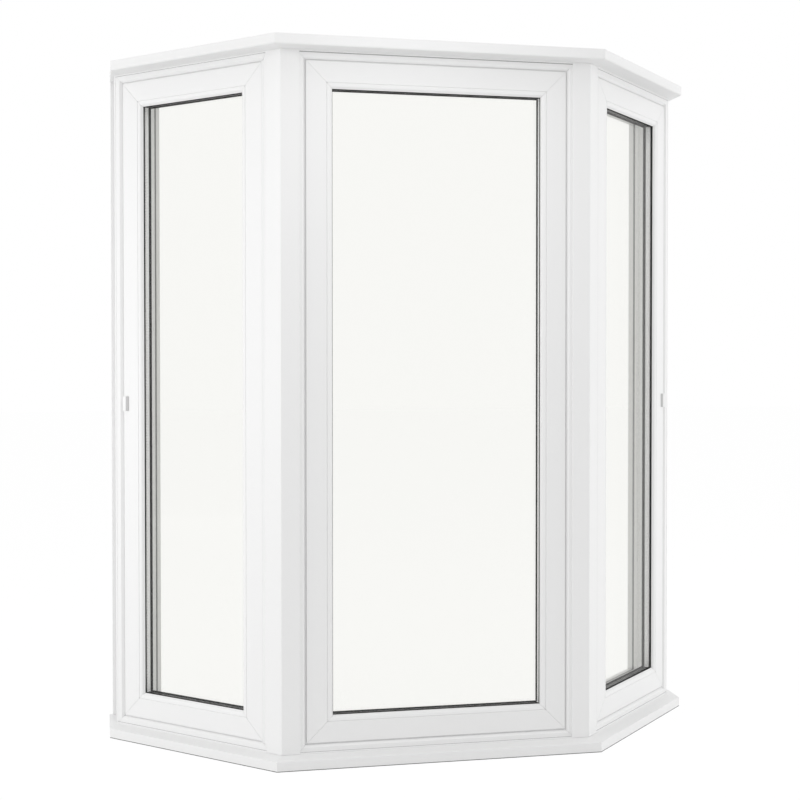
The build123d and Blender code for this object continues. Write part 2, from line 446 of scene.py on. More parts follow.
def lofted(rows: Array) -> Surface:
    """A smooth closed skin over rings of points, with flat ends.

    The normal at a point is the cross product of the surface's two slopes there, each the difference
    between the points on either side.

    Args:
        rows: the rings, as an array of rings, points and coordinates.

    Returns:
        The surface, facing away from its middle.
    """
    rings, count = rows.shape[:2]
    around = np.roll(rows, -1, axis=1) - np.roll(rows, 1, axis=1)
    normal = unit(np.cross(np.gradient(rows, axis=0), around))
    middle = rows.mean(axis=1, keepdims=True)
    normal *= np.where(np.sum(normal * (rows - middle)) < 0, -1.0, 1.0)
    row, column = np.arange(rings - 1)[:, None], np.arange(count)[None]
    next_column = (column + 1) % count
    index = np.stack([row * count + column, (row + 1) * count + column,
                      (row + 1) * count + next_column, row * count + next_column], axis=-1).reshape(-1, 4)
    points = rows.reshape(-1, 3)
    length = np.linalg.norm(np.diff(middle[:, 0], axis=0), axis=1)
    travel = np.concatenate([[0.0], np.cumsum(length)])
    girth = np.linalg.norm(np.diff(rows[rings // 2], axis=0), axis=1).mean() * np.arange(count)
    runs = np.stack(np.broadcast_arrays(travel[:, None], girth[None]), axis=-1).reshape(-1, 2) * MM
    body = quads(points, index, normal.reshape(-1, 3)[index], runs[index])
    heading = unit(middle[-1, 0] - middle[0, 0])
    numbers = np.arange(len(points)).reshape(rings, count)
    return capped(body, [end_face(points, numbers[0], -heading), end_face(points, numbers[-1], heading)])


@dataclass(frozen=True)
class Seam:
    """The groove where two mitred bars meet, or where welded bars were cleaned off."""

    width: float = 1.0
    depth: float = 0.8
    shoulder: float = 0.45
    shoulder_sink: float = 0.75

    def path(self, width: float, height: float) -> tuple[Outline, Array]:
        """A rectangle about the zero point with extra points beside its corners.

        Args:
            width: across the rectangle.
            height: up the rectangle.

        Returns:
            The path, and how far a profile sinks at each of its points.
        """
        offsets = np.array([-1.0, -self.shoulder, 0.0, self.shoulder, 1.0]) * self.width
        sinks = np.array([0.0, self.shoulder_sink, 1.0, self.shoulder_sink, 0.0]) * self.depth
        corner = np.array([[-1.0, -1.0], [1.0, -1.0], [1.0, 1.0], [-1.0, 1.0]])
        ahead = unit(np.roll(corner, -1, axis=0) - corner)[:, None]
        behind = np.roll(ahead, 1, axis=0)
        out, out_behind = ahead[..., ::-1] * [1, -1], behind[..., ::-1] * [1, -1]
        spread = offsets[None, :, None]
        half_size = np.array([width, height]) / 2
        points = corner[:, None] * half_size + np.where(spread < 0, behind, ahead) * spread
        before, after = np.where(spread <= 0, out_behind, out), np.where(spread < 0, out_behind, out)
        cut = corner[:, None].repeat(len(offsets), 1)
        return Outline(*(part.reshape(-1, 2) for part in (points, before, after)),
                       cut=cut.reshape(-1, 2)), np.tile(sinks, 4)


SOFT_SEAM = Seam(width=0.6, depth=0.1)


def ring(corners: list[Corner], width: float, height: float, seam: Seam = SOFT_SEAM) -> Surface:
    """A four-sided ring: a closed section carried round a rectangle, with a seam at each corner."""
    path, sink = seam.path(width, height)
    return carried(rounded(anticlockwise(corners)), path, Facing.UPRIGHT, sink)


def bent_ring(corners: list[Corner], width: float, height: float, bend: float) -> Surface:
    """A ring whose corners are bent round a radius, measured at the section's zero inset."""
    path = rounded(rectangle(width, height, bend), steps=10)
    return carried(rounded(anticlockwise(corners)), path, Facing.UPRIGHT)


def upright(corners: list[Corner], bottom: float, top: float, ease: float) -> Surface:
    """A plan outline carried up between two heights, with its end edges eased by a small radius."""
    return carried(rim(top, bottom, ease, ease), rounded(anticlockwise(corners)), Facing.PLAN)


# ---------------------------------------------------------------- shader maths


@dataclass(frozen=True)
class Wire:
    """An output socket that arithmetic can be done on; each operation adds a Math node."""

    graph: Graph
    socket: bpy.types.NodeSocket

    def math(self, operation: str, first: Value, second: Value) -> Wire:
        """One Math node."""
        return self.graph.add("ShaderNodeMath", {"operation": operation}, {0: first, 1: second})

    def __add__(self, other: Value) -> Wire:
        """self + other."""
        return self.math("ADD", self, other)

    def __radd__(self, other: Value) -> Wire:
        """other + self."""
        return self.math("ADD", other, self)

    def __sub__(self, other: Value) -> Wire:
        """self - other."""
        return self.math("SUBTRACT", self, other)

    def __rsub__(self, other: Value) -> Wire:
        """other - self."""
        return self.math("SUBTRACT", other, self)

    def __mul__(self, other: Value) -> Wire:
        """self * other."""
        return self.math("MULTIPLY", self, other)

    def __rmul__(self, other: Value) -> Wire:
        """other * self."""
        return self.math("MULTIPLY", other, self)

    def __pow__(self, other: Value) -> Wire:
        """self to the power of other."""
        return self.math("POWER", self, other)

    def __gt__(self, other: Value) -> Wire:
        """1 where self is above other, and 0 elsewhere."""
        return self.math("GREATER_THAN", self, other)

    def __abs__(self) -> Wire:
        """self without its sign."""
        return self.graph.add("ShaderNodeMath", {"operation": "ABSOLUTE"}, {0: self})

    def clamped(self) -> Wire:
        """The value held between 0 and 1."""
        return self.graph.add("ShaderNodeClamp", {}, {"Value": self})


class Graph:
    """The node tree of one finish."""

    def __init__(self, tree: bpy.types.NodeTree) -> None:
        """Starts on a node tree with nothing in it."""
        self.tree = tree
        tree.nodes.clear()

    def add(self, kind: str, settings: dict[str, Any], sockets: dict[int | str, Value],
            output: int | str = 0) -> Wire:
        """Adds any node.

        Args:
            kind: the node's type.
            settings: its own settings, which are set first.
            sockets: a value or a wire for each input, by name or number.
            output: the output wanted.

        Returns:
            That output.
        """
        node = self.tree.nodes.new(kind)
        for name, setting in settings.items():
            setattr(node, name, setting)
        for name, value in sockets.items():
            if isinstance(value, Wire):
                self.tree.links.new(value.socket, node.inputs[name])
            else:
                node.inputs[name].default_value = value
        return Wire(self, node.outputs[output]) if len(node.outputs) else Wire(self, node.inputs[0])

    def noise(self, at: Wire, scale: float, detail: float = 2.0) -> Wire:
        """Cloudy noise at a place, from 0 to 1."""
        return self.add("ShaderNodeTexNoise", {}, {"Vector": at, "Scale": scale, "Detail": detail})

    def mixed(self, share: Value, first: Value, second: Value) -> Wire:
        """Two colours mixed."""
        return self.add("ShaderNodeMix", {"data_type": "RGBA"}, {0: share, 6: first, 7: second}, 2)

    def body_place(self) -> Wire:
        """The place on the object, in metres."""
        return self.add("ShaderNodeTexCoord", {}, {}, "Object")

    def run_place(self, along: float, across: float) -> Wire:
        """The place on the run map, scaled along the piece and round its section."""
        run = self.add("ShaderNodeUVMap", {"uv_map": RUN_MAP}, {})
        return self.add("ShaderNodeMapping", {}, {"Vector": run, "Scale": (along, across, 1.0)})

    def bump(self, height: Wire, depth: float) -> Wire:
        """A bumped normal whose height of one stands for a depth in metres."""
        return self.add("ShaderNodeBump", {}, {"Height": height, "Distance": depth, "Strength": 1.0})

    def seen(self) -> Wire:
        """A mask for the rays that see the surroundings, rather than light the object by them.

        Returns:
            1 for the rays of the camera and those that gloss and clear glass send on, and 0 for the rest.
        """
        kinds = ("Is Camera Ray", "Is Glossy Ray", "Is Transmission Ray")
        camera, glossy, through = (self.add("ShaderNodeLightPath", {}, {}, kind) for kind in kinds)
        return (camera + glossy + through).clamped()

    def principled(self, sockets: dict[int | str, Value]) -> Wire:
        """A Principled shader."""
        return self.add("ShaderNodeBsdfPrincipled", {}, sockets)

    def finish(self, shader: Wire) -> None:
        """Ends the tree in its output node."""
        kind = "ShaderNodeOutputWorld" if self.is_world else "ShaderNodeOutputMaterial"
        self.add(kind, {}, {"Surface": shader})

    @property
    def is_world(self) -> bool:
        """Whether the tree belongs to a world."""
        return isinstance(self.tree.id_data, bpy.types.World)


# ---------------------------------------------------------------- finishes


def paint(grey: float, blue: float = 1.0) -> tuple[float, float, float, float]:
    """A grey as a colour, with its blue scaled by a factor."""
    return (grey, grey, grey * blue, 1.0)


@dataclass(frozen=True)
class Finish(ABC):
    """One finish: its name, the record's slot that it follows, and its nodes."""

    name: str
    slot: Slot | None

    @abstractmethod
    def shader(self, graph: Graph) -> Wire:
        """Adds the finish's nodes and gives its shader."""


@cache
def material(finish: Finish) -> bpy.types.Material:
    """The Blender material of a finish, made once.

    Args:
        finish: the finish.

    Returns:
        The material, with the finish's nodes in it.
    """
    made = bpy.data.materials.new(finish.name)
    made.use_nodes = True
    graph = Graph(made.node_tree)
    graph.finish(finish.shader(graph))
    return made


@dataclass(frozen=True)
class ExtrudedPlastic(Finish):
    """Satin window plastic: faint die lines along each run, a soft ripple, and a slightly uneven gloss."""

    grey: float = 0.85
    roughness: float = 0.3
    die_lines_per_metre: float = 900.0
    die_waves_per_metre: float = 1.5
    die_line_depth: float = 0.000012
    ripple_scale: float = 26.0
    ripple_depth: float = 0.00006
    cloud_scale: float = 3.0
    cloud_share: float = 0.7
    cloud_gloss: float = 0.08
    line_gloss: float = 0.05
    light: float = 1.006
    dark: float = 0.982
    dark_blue: float = 0.998
    ior: float = 1.52

    def shader(self, graph: Graph) -> Wire:
        """Base colour, roughness and normal all vary a little over the surface.

        Args:
            graph: the node tree of its material.

        Returns:
            The shader.
        """
        place = graph.body_place()
        lines = graph.noise(graph.run_place(self.die_waves_per_metre, self.die_lines_per_metre), 1.0, 3.0)
        ripple = graph.noise(place, self.ripple_scale, 1.0)
        cloud = graph.noise(place, self.cloud_scale, 3.0)
        share = cloud * self.cloud_share + lines * (1 - self.cloud_share)
        colour = graph.mixed(share, paint(self.grey * self.light),
                             paint(self.grey * self.dark, self.dark_blue))
        normal = graph.bump(lines * self.die_line_depth + ripple * self.ripple_depth, 1.0)
        roughness = self.roughness + (cloud - 0.5) * self.cloud_gloss + (lines - 0.5) * self.line_gloss
        return graph.principled({"Base Color": colour, "Roughness": roughness, "Normal": normal,
                                 "IOR": self.ior})


@dataclass(frozen=True)
class MouldedPlastic(Finish):
    """Moulded plastic or powder coat: a fine even texture."""

    grey: float = 0.88
    roughness: float = 0.34
    grain_scale: float = 1400.0
    grain_depth: float = 0.00001
    grain_gloss: float = 0.12
    cloud_scale: float = 18.0
    dark: float = 0.975
    ior: float = 1.5

    def shader(self, graph: Graph) -> Wire:
        """A fine grain in the normal and roughness, and a faint cloud in the colour.

        Args:
            graph: the node tree of its material.

        Returns:
            The shader.
        """
        place = graph.body_place()
        grain = graph.noise(place, self.grain_scale, 2.0)
        cloud = graph.noise(place, self.cloud_scale, 2.0)
        colour = graph.mixed(cloud, paint(self.grey), paint(self.grey * self.dark))
        return graph.principled({"Base Color": colour, "IOR": self.ior,
                                 "Roughness": self.roughness + (grain - 0.5) * self.grain_gloss,
                                 "Normal": graph.bump(grain, self.grain_depth)})


@dataclass(frozen=True)
class ClearGlass(Finish):
    """Float glass: it lets through a faintly tinted view and mirrors more at a slant."""

    tint: tuple[float, float, float] = (0.983, 0.983, 0.976)
    head_on: float = 0.022
    edge_on: float = 0.4

    def shader(self, graph: Graph) -> Wire:
        """A see-through shader and a mirror.

        The mirror's share rises from its share head on to its share edge on by the fifth power of how far
        the surface turns away, alike from both sides of a pane.

        Args:
            graph: the node tree of its material.

        Returns:
            The shader.
        """
        away = graph.add("ShaderNodeLayerWeight", {}, {"Blend": 0.5}, "Facing")
        share = away ** 5 * (self.edge_on - self.head_on) + self.head_on
        through = graph.add("ShaderNodeBsdfTransparent", {}, {"Color": (*self.tint, 1.0)})
        mirror = graph.add("ShaderNodeBsdfAnisotropic", {}, {"Color": paint(1.0), "Roughness": 0.0})
        return graph.add("ShaderNodeMixShader", {}, {0: share, 1: through, 2: mirror})


@dataclass(frozen=True)
class RolledAluminium(Finish):
    """The spacer bar's rolled aluminium, bright on the upright bars and darkened with painted shade on the
    level ones, which are further than a distance from the light's middle height, both in metres."""

    middle: float
    painted_shade_from: float
    grey: float = 0.95
    roughness: float = 0.34
    shine: float = 0.1
    holes_per_metre: float = 220.0
    hole_radius: float = 0.16
    hole_shade: float = 0.3
    blue: float = 1.01
    # painted shade: the near-black colour of the level bars
    painted_shade_grey: float = 0.03
    lines_per_metre: float = 1800.0
    waves_per_metre: float = 2.0
    line_depth: float = 0.00002
    clouds_along: float = 3.0
    clouds_across: float = 12.0
    cloud_gloss: float = 0.15

    def shader(self, graph: Graph) -> Wire:
        """Rolling lines in the normal, cloudy roughness, dark specks for the holes, and painted shade on the
        level bars.

        Args:
            graph: the node tree of its material.

        Returns:
            The shader.
        """
        lines = graph.noise(graph.run_place(self.waves_per_metre, self.lines_per_metre), 1.0, 2.0)
        cloud = graph.noise(graph.run_place(self.clouds_along, self.clouds_across), 1.0, 2.0)
        specks = graph.add("ShaderNodeTexVoronoi", {}, {
            "Vector": graph.run_place(self.holes_per_metre, self.holes_per_metre), "Scale": 1.0,
            "Randomness": 0.0})
        metal = specks > self.hole_radius
        bright = graph.mixed(metal, paint(self.grey * self.hole_shade), paint(self.grey, self.blue))
        # painted shade: the level bars, far from the middle height, are coloured near black and lose their
        # metal
        height = graph.add("ShaderNodeSeparateXYZ", {}, {0: graph.body_place()}, "Z")
        level = abs(height - self.middle) > self.painted_shade_from
        colour = graph.mixed(level, bright, paint(self.painted_shade_grey))
        return graph.principled({"Base Color": colour, "Metallic": metal * (1 - level) * self.shine,
                                 "Roughness": self.roughness + cloud * self.cloud_gloss,
                                 "Normal": graph.bump(lines, self.line_depth)})


@dataclass(frozen=True)
class Rubber(Finish):
    """Gasket rubber, with a soft bloom."""

    grey: float = 0.006
    roughness: float = 0.75
    gloss: float = 0.06
    bloom: float = 1.5
    bloom_haze: float = 0.004
    bloom_scale: float = 40.0
    lines_per_metre: float = 1200.0
    waves_per_metre: float = 3.0
    line_depth: float = 0.00003
    line_gloss: float = 0.15

    def shader(self, graph: Graph) -> Wire:
        """A faint bloom in the colour and a fine line texture along the run.

        Args:
            graph: the node tree of its material.

        Returns:
            The shader.
        """
        bloom = graph.noise(graph.body_place(), self.bloom_scale, 3.0)
        lines = graph.noise(graph.run_place(self.waves_per_metre, self.lines_per_metre), 1.0, 2.0)
        colour = graph.mixed(bloom, paint(self.grey), paint(self.grey * self.bloom + self.bloom_haze))
        return graph.principled({"Base Color": colour, "Specular IOR Level": self.gloss,
                                 "Roughness": self.roughness + (lines - 0.5) * self.line_gloss,
                                 "Normal": graph.bump(lines, self.line_depth)})


@dataclass(frozen=True)
class StudioFloor(Finish):
    """The pale floor: it shines back like plain paper and shows white where no shadow lies."""

    grey: float = 0.85
    seen_grey: float = 0.1
    lift: float = 0.915

    def shader(self, graph: Graph) -> Wire:
        """What the camera, metal and glass see is mostly white of its own; the object is lit by paper.

        Args:
            graph: the node tree of its material.

        Returns:
            The shader.
        """
        paper = graph.add("ShaderNodeBsdfDiffuse", {}, {"Color": paint(self.grey)})
        sheet = graph.add("ShaderNodeBsdfDiffuse", {}, {"Color": paint(self.seen_grey)})
        white = graph.add("ShaderNodeEmission", {}, {"Color": paint(1.0), "Strength": self.lift})
        lifted = graph.add("ShaderNodeAddShader", {}, {0: sheet, 1: white})
        return graph.add("ShaderNodeMixShader", {}, {0: graph.seen(), 1: paper, 2: lifted})


PROFILE = ExtrudedPlastic("white_window_profile", Slot.PROFILE)
BOARD = ExtrudedPlastic("white_board", Slot.BOARD, grey=0.83, roughness=0.36, die_lines_per_metre=500.0)
SEAL = MouldedPlastic("pale_weather_seal", Slot.PROFILE, grey=0.8, roughness=0.6)
# painted shade: the grey of the line in the joints with the sill and the head
JOINT = MouldedPlastic("painted_shade_joint", Slot.GASKET, grey=0.3, roughness=0.7)
# painted shade: the grey of the strip in the bead's groove
BEAD_GROOVE_SHADE = MouldedPlastic("grey_bead_seal", Slot.GASKET, grey=0.24, roughness=0.7)
# painted shadow: the dark strip under the sill's nose stands in for its contact shadow
CONTACT_SHADOW = MouldedPlastic("dark_bedding", Slot.GASKET, grey=0.06, roughness=0.8)
SEALANT = MouldedPlastic("white_sealant", Slot.PROFILE, grey=0.82, roughness=0.5, grain_scale=300.0)
CAP = MouldedPlastic("white_hinge_cap", Slot.CAP)
# painted shade: the flank's grey stands in for the shade along the hinge cap's side
PAINTED_SHADE_FLANK = MouldedPlastic("grey_hinge_flank", Slot.CAP, grey=0.55, roughness=0.4)
HANDLE = MouldedPlastic("white_powder_coat", Slot.HANDLE, grey=0.86, roughness=0.3, grain_scale=900.0)
GLASS = ClearGlass("clear_float_glass", Slot.GLASS)
GASKET = Rubber("black_gasket", Slot.GASKET)
FLOOR = StudioFloor("studio_floor", None)


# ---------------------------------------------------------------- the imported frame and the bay's plan


def node_box(name: str) -> tuple[Array, Array]:
    """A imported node's lowest and highest corners, in millimetres."""
    low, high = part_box(name)
    return np.array(low) / MM, np.array(high) / MM


def fitted(name: str, surface: Surface, finish: Finish, *nodes: str) -> bpy.types.Object:
    """Makes a piece, gives it its finish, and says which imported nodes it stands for.

    Args:
        name: the piece's name.
        surface: its mesh, in the part's space.
        finish: its finish.
        nodes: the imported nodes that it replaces.

    Returns:
        The piece, riding on the part's one body.
    """
    piece = surface.to_object(name)
    piece.data.materials.append(material(finish))
    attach(piece, BODY)
    if nodes:
        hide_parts(*nodes)
    log.info("%s: %d faces, %s, for %s", name, len(surface.faces), finish.name, ", ".join(nodes) or "no node")
    return piece


@dataclass(frozen=True)
class BayPlan:
    """The plan of the bay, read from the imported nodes."""

    frame_depth: float
    turn: float
    face: float
    centre_half: float
    bottom: float
    top: float
    corner_x: float
    setback: float
    side_width: float
    jamb_x: float
    wall: float

    @classmethod
    def from_frame(cls, frame_depth: float, bay_angle: float) -> BayPlan:
        """Works the plan out from the boxes of the frames and the wall jamb.

        A side frame of width w and depth d, turned by the bay angle, is w * cos + d * sin wide. The corner
        is where the centre frame's face line meets the side frame's.

        Args:
            frame_depth: depth of the outer frames.
            bay_angle: turn of the side lights, in degrees.

        Returns:
            The plan.
        """
        turn = np.radians(bay_angle)
        c, s = float(np.cos(turn)), float(np.sin(turn))
        low, high = node_box("frame_centre")
        side_low, side_high = node_box("frame_right")
        side_width = (side_high[0] - side_low[0] - frame_depth * s) / c
        start_x, start_y = side_high[0] - side_width * c, side_low[1]
        setback = (start_y - low[1]) / s
        jamb = node_box("wall_jamb_right")[1]
        return cls(frame_depth, float(turn), low[1], high[0], low[2], high[2], start_x - setback * c,
                   setback, side_width, jamb[0], jamb[1])

    def beside(self, side: Side, along: float, depth: float) -> Point:
        """A plan point at a side light.

        Args:
            side: the side of the bay.
            along: how far it is from the bay corner along the frame's face.
            depth: how far in it is from that face.

        Returns:
            The point in the part's plan.
        """
        c, s = np.cos(self.turn), np.sin(self.turn)
        x = self.corner_x + along * c - depth * s
        return side.value * float(x), self.face + float(along * s + depth * c)

    def corner(self, side: Side, depth: float) -> Point:
        """A plan point on the mitre of a bay corner."""
        return side.value * (self.corner_x - depth * float(np.tan(self.turn / 2))), self.face + depth

    def ahead(self, side: Side, reach: float, depth: float) -> Point:
        """A plan point on the centre light's side of a corner: back from the corner, and in."""
        return side.value * (self.corner_x - reach), self.face + depth

    @property
    def side_end(self) -> float:
        """The far end of a side frame, along from the bay corner."""
        return self.setback + self.side_width

    @property
    def height(self) -> float:
        """The height of the frames."""
        return self.top - self.bottom

    @property
    def middle(self) -> float:
        """The height of the frames' middle above the ground."""
        return (self.bottom + self.top) / 2

    def place(self, side: Side) -> Place:
        """Where a light stands.

        Args:
            side: which light it is.

        Returns:
            The place of the middle of its face, turned with the light.
        """
        if side is Side.CENTRE:
            return Place(0.0, self.face, self.middle, 0.0)
        x, y = self.beside(side, self.setback + self.side_width / 2, 0.0)
        return Place(x, y, self.middle, side.value * self.turn)

    def width(self, side: Side) -> float:
        """The width of a light's outer frame."""
        return 2 * self.centre_half if side is Side.CENTRE else self.side_width


# ---------------------------------------------------------------- a light and its parts


@dataclass(frozen=True)
class OuterFrame:
    """The fixed frame: a bevelled face, a rebate for the sash and a stop leg behind it."""

    depth: float = 100.0
    flat: float = 16.0
    bevel: float = 7.0
    stop_width: float = 18.0
    stop_thickness: float = 20.0
    outer_ease: float = 1.5
    arris: float = 1.2
    stop_edge: float = 1.0
    room_edge: float = 2.0
    back_edge: float = 0.8
    seam: Seam = Seam()

    @property
    def face(self) -> float:
        """The width of the face that shows beside the sash."""
        return self.flat + self.bevel

    @property
    def stop_front(self) -> float:
        """The depth of the stop leg's front."""
        return self.depth - self.stop_thickness

    def surface(self, light: Light) -> Surface:
        """The frame's section carried round the light: face, bevel, rebate wall, stop leg, back."""
        leg = self.face + self.stop_width
        return ring([(0, 0, self.outer_ease), (self.flat, 0, self.arris),
                     (self.face, self.bevel, self.arris), (self.face, self.stop_front, 0),
                     (leg, self.stop_front, self.stop_edge), (leg, self.depth, self.room_edge),
                     (0, self.depth, self.back_edge)], *light.size, self.seam)


@dataclass(frozen=True)
class Sash:
    """The leaf: a flat face, a fine quirk, a crowned slope and a thin lip to the glass."""

    recess: float = 3.0
    flat: float = 58.0
    slope: float = 14.0
    drop: float = 7.0
    lip: float = 2.0
    lip_thickness: float = 3.0
    cover: float = 14.0
    outer_radius: float = 1.5
    quirk_width: float = 2.2
    quirk_depth: float = 2.0
    quirk_edge: float = 0.25
    quirk_floor: float = 0.2
    crown_radius: float = 10.0
    crown_place: float = 0.2
    crown_fall: float = 0.25
    lip_edge: float = 0.7
    lip_back_edge: float = 0.4
    seat_edge: float = 0.6
    room_edge: float = 1.5
    back_edge: float = 0.8
    bead_foot: float = 14.0
    bead_foot_front: float = 54.0
    step: float = 16.0
    stop_front: float = OuterFrame.depth - OuterFrame.stop_thickness
    back: float = OuterFrame.depth
    seam: Seam = Seam()

    @property
    def width(self) -> float:
        """The width of a rail or stile up to the glass."""
        return self.flat + self.slope + self.lip

    @property
    def lip_front(self) -> float:
        """The depth of the lip's face."""
        return self.recess + self.drop

    @property
    def lip_back(self) -> float:
        """The depth of the lip's back, where the outer gasket sits."""
        return self.lip_front + self.lip_thickness

    @property
    def rebate(self) -> float:
        """The inset of the rebate that holds the glass."""
        return self.width - self.cover

    @property
    def seat(self) -> float:
        """The inset of the glazing bead's outer side."""
        return self.rebate - self.bead_foot

    def surface(self, light: Light) -> Surface:
        """The leaf's section carried round: face, quirk, crowned slope, lip, rebate, seat, back and step.

        Args:
            light: the light that it is in.

        Returns:
            The leaf in the light's own space.
        """
        quirk_half = self.quirk_width / 2
        slope_end = self.flat + self.slope + FINE
        crown = slope_end - self.crown_place * self.slope, self.recess + self.crown_fall * self.drop
        return ring([(0, self.recess, self.outer_radius),
                     (self.flat - quirk_half, self.recess, self.quirk_edge),
                     (self.flat, self.recess + self.quirk_depth, self.quirk_floor),
                     (self.flat + quirk_half, self.recess + FINE, FINE), (*crown, self.crown_radius),
                     (slope_end, self.lip_front, FINE), (self.width, self.lip_front, self.lip_edge),
                     (self.width, self.lip_back, self.lip_back_edge), (self.rebate, self.lip_back, 0),
                     (self.rebate, self.bead_foot_front, 0), (self.seat, self.bead_foot_front, 0),
                     (self.seat, self.back, self.seat_edge), (self.step, self.back, self.room_edge),
                     (self.step, self.stop_front, 0), (0, self.stop_front, self.back_edge)],
                    *light.leaf, self.seam)


@dataclass(frozen=True)
class SealedUnit:
    """The double glazed unit with its spacer bar and the two gaskets beside it."""

    pane: float = 4.0
    cavity: float = 16.0
    clearance: float = 2.0
    outer_gasket: float = 3.0
    inner_gasket: float = 4.0
    gasket_height: float = 9.0
    gasket_nose: float = 0.6
    gasket_seam: Seam = Seam(width=0.6, depth=0.15)
    stand_out: float = 1.5
    spacer_height: float = 10.5
    spacer_inset: float = 1.0
    spacer_shoulder: float = 1.6
    spacer_bend: float = 4.0
    spacer_edge: float = 0.4
    spacer_arris: float = 0.5
    channel_half: float = 3.0
    channel_depth: float = 0.5
    channel_lean: float = 0.6

    def back(self, sash: Sash) -> float:
        """The depth of the inner pane's back."""
        return sash.lip_back + self.outer_gasket + 2 * self.pane + self.cavity

    def spacer_inset_in(self, sash: Sash) -> float:
        """The inset of the spacer's back from the sash's outer edge."""
        return sash.rebate + self.clearance + self.spacer_inset

    def gasket(self, light: Light, front: float, thickness: float) -> Surface:
        """A gasket: a section with a rounded nose beside the glass, carried round.

        Args:
            light: the light that it is in.
            front: the depth of the gasket's front.
            thickness: how deep the gasket is from there.

        Returns:
            The gasket in the light's own space.
        """
        end = light.sash.width + self.stand_out
        start = end - self.gasket_height
        back, nose = front + thickness, self.gasket_nose
        return ring([(start, front, 0), (end, front, nose), (end, back, nose), (start, back, 0)],
                    *light.leaf, self.gasket_seam)

    def spacer(self, light: Light) -> Surface:
        """The spacer bar: shouldered towards the panes, with a shallow channel in its face.

        Args:
            light: the light that it is in.

        Returns:
            The bar in the light's own space.
        """
        start = self.spacer_inset_in(light.sash)
        front = light.sash.lip_back + self.outer_gasket + self.pane
        back = front + self.cavity
        face, shoulder, middle = self.spacer_height, self.spacer_shoulder, (front + back) / 2
        floor, half = face - self.channel_depth, self.channel_half
        flat = half - self.channel_lean
        edge, arris = self.spacer_edge, self.spacer_arris
        section = [(0, front + shoulder, FINE), (0, back - shoulder, FINE), (shoulder, back, FINE),
                   (face - shoulder, back, edge), (face, back - shoulder, arris), (face, middle + half, FINE),
                   (floor, middle + flat, FINE), (floor, middle - flat, FINE), (face, middle - half, FINE),
                   (face, front + shoulder, arris), (face - shoulder, front, edge), (shoulder, front, FINE)]
        width, height = light.leaf
        return bent_ring(section, width - 2 * start, height - 2 * start, face + self.spacer_bend)


@dataclass(frozen=True)
class GlazingBead:
    """The bead that holds the glass from the room side: a sloped face with a shallow cove, then a groove
    with a grey strip of painted shade in it, and a flat side out to the room."""

    front: float = SealedUnit().back(Sash()) + SealedUnit.inner_gasket
    slope_back: float = 78.0
    slope: float = 16.0
    edge: float = 11.0
    cove_place: float = 0.53
    cove_half: float = 0.13
    cove_depth: float = 2.0
    cove_edge: float = 0.4
    groove_width: float = 6.5
    groove_depth: float = 2.4
    groove_lean: float = 0.2
    groove_edge: float = 0.1
    strip_sunk: float = 0.3
    nose: float = 1.0
    room_edge: float = 0.9
    seam: Seam = Seam(width=0.9, depth=0.5)

    def surface(self, light: Light) -> Surface:
        """The bead's section carried round, cut and mitred at the corners.

        Args:
            light: the light that it is in.

        Returns:
            The bead in the light's own space.
        """
        sash = light.sash
        outer = sash.seat + self.edge
        inner, foot_back = outer + self.slope, sash.bead_foot_front
        run, fall = -self.slope, self.slope_back - self.front
        length = float(np.hypot(run, fall))

        def on_slope(share: float, sunk: float) -> Corner:
            """A corner a share of the way down the slope, sunk square to it."""
            return (inner + share * run - sunk * fall / length,
                    self.front + share * fall + sunk * run / length, self.cove_edge)

        bottom, (near, far) = outer - self.groove_depth, self.groove_floor
        return ring([(inner, self.front, self.nose), on_slope(self.cove_place - self.cove_half, 0.0),
                     on_slope(self.cove_place, self.cove_depth),
                     on_slope(self.cove_place + self.cove_half, 0.0),
                     (outer, self.slope_back, FINE), (bottom, near, self.groove_edge),
                     (bottom, far, self.groove_edge), (outer, self.slope_back + self.groove_width, FINE),
                     (outer, sash.back, self.room_edge), (sash.seat, sash.back, 0),
                     (sash.seat, foot_back, 0), (sash.rebate, foot_back, 0),
                     (sash.rebate, self.front, 0)], *light.leaf, self.seam)

    @property
    def groove_floor(self) -> tuple[float, float]:
        """The depths between which the groove's floor lies."""
        return self.slope_back + self.groove_lean, self.slope_back + self.groove_width - self.groove_lean

    def groove_shade_strip(self, light: Light) -> Surface:
        """The grey strip of painted shade in the groove, sunk a little below the bead's flat side.

        Args:
            light: the light that it is in.

        Returns:
            The strip in the light's own space.
        """
        outer, (front, back) = light.sash.seat + self.edge, self.groove_floor
        top, bottom = outer - self.strip_sunk, outer - self.groove_depth
        return ring([(bottom, front, 0), (top, front, FINE), (top, back, FINE), (bottom, back, 0)],
                    *light.leaf)


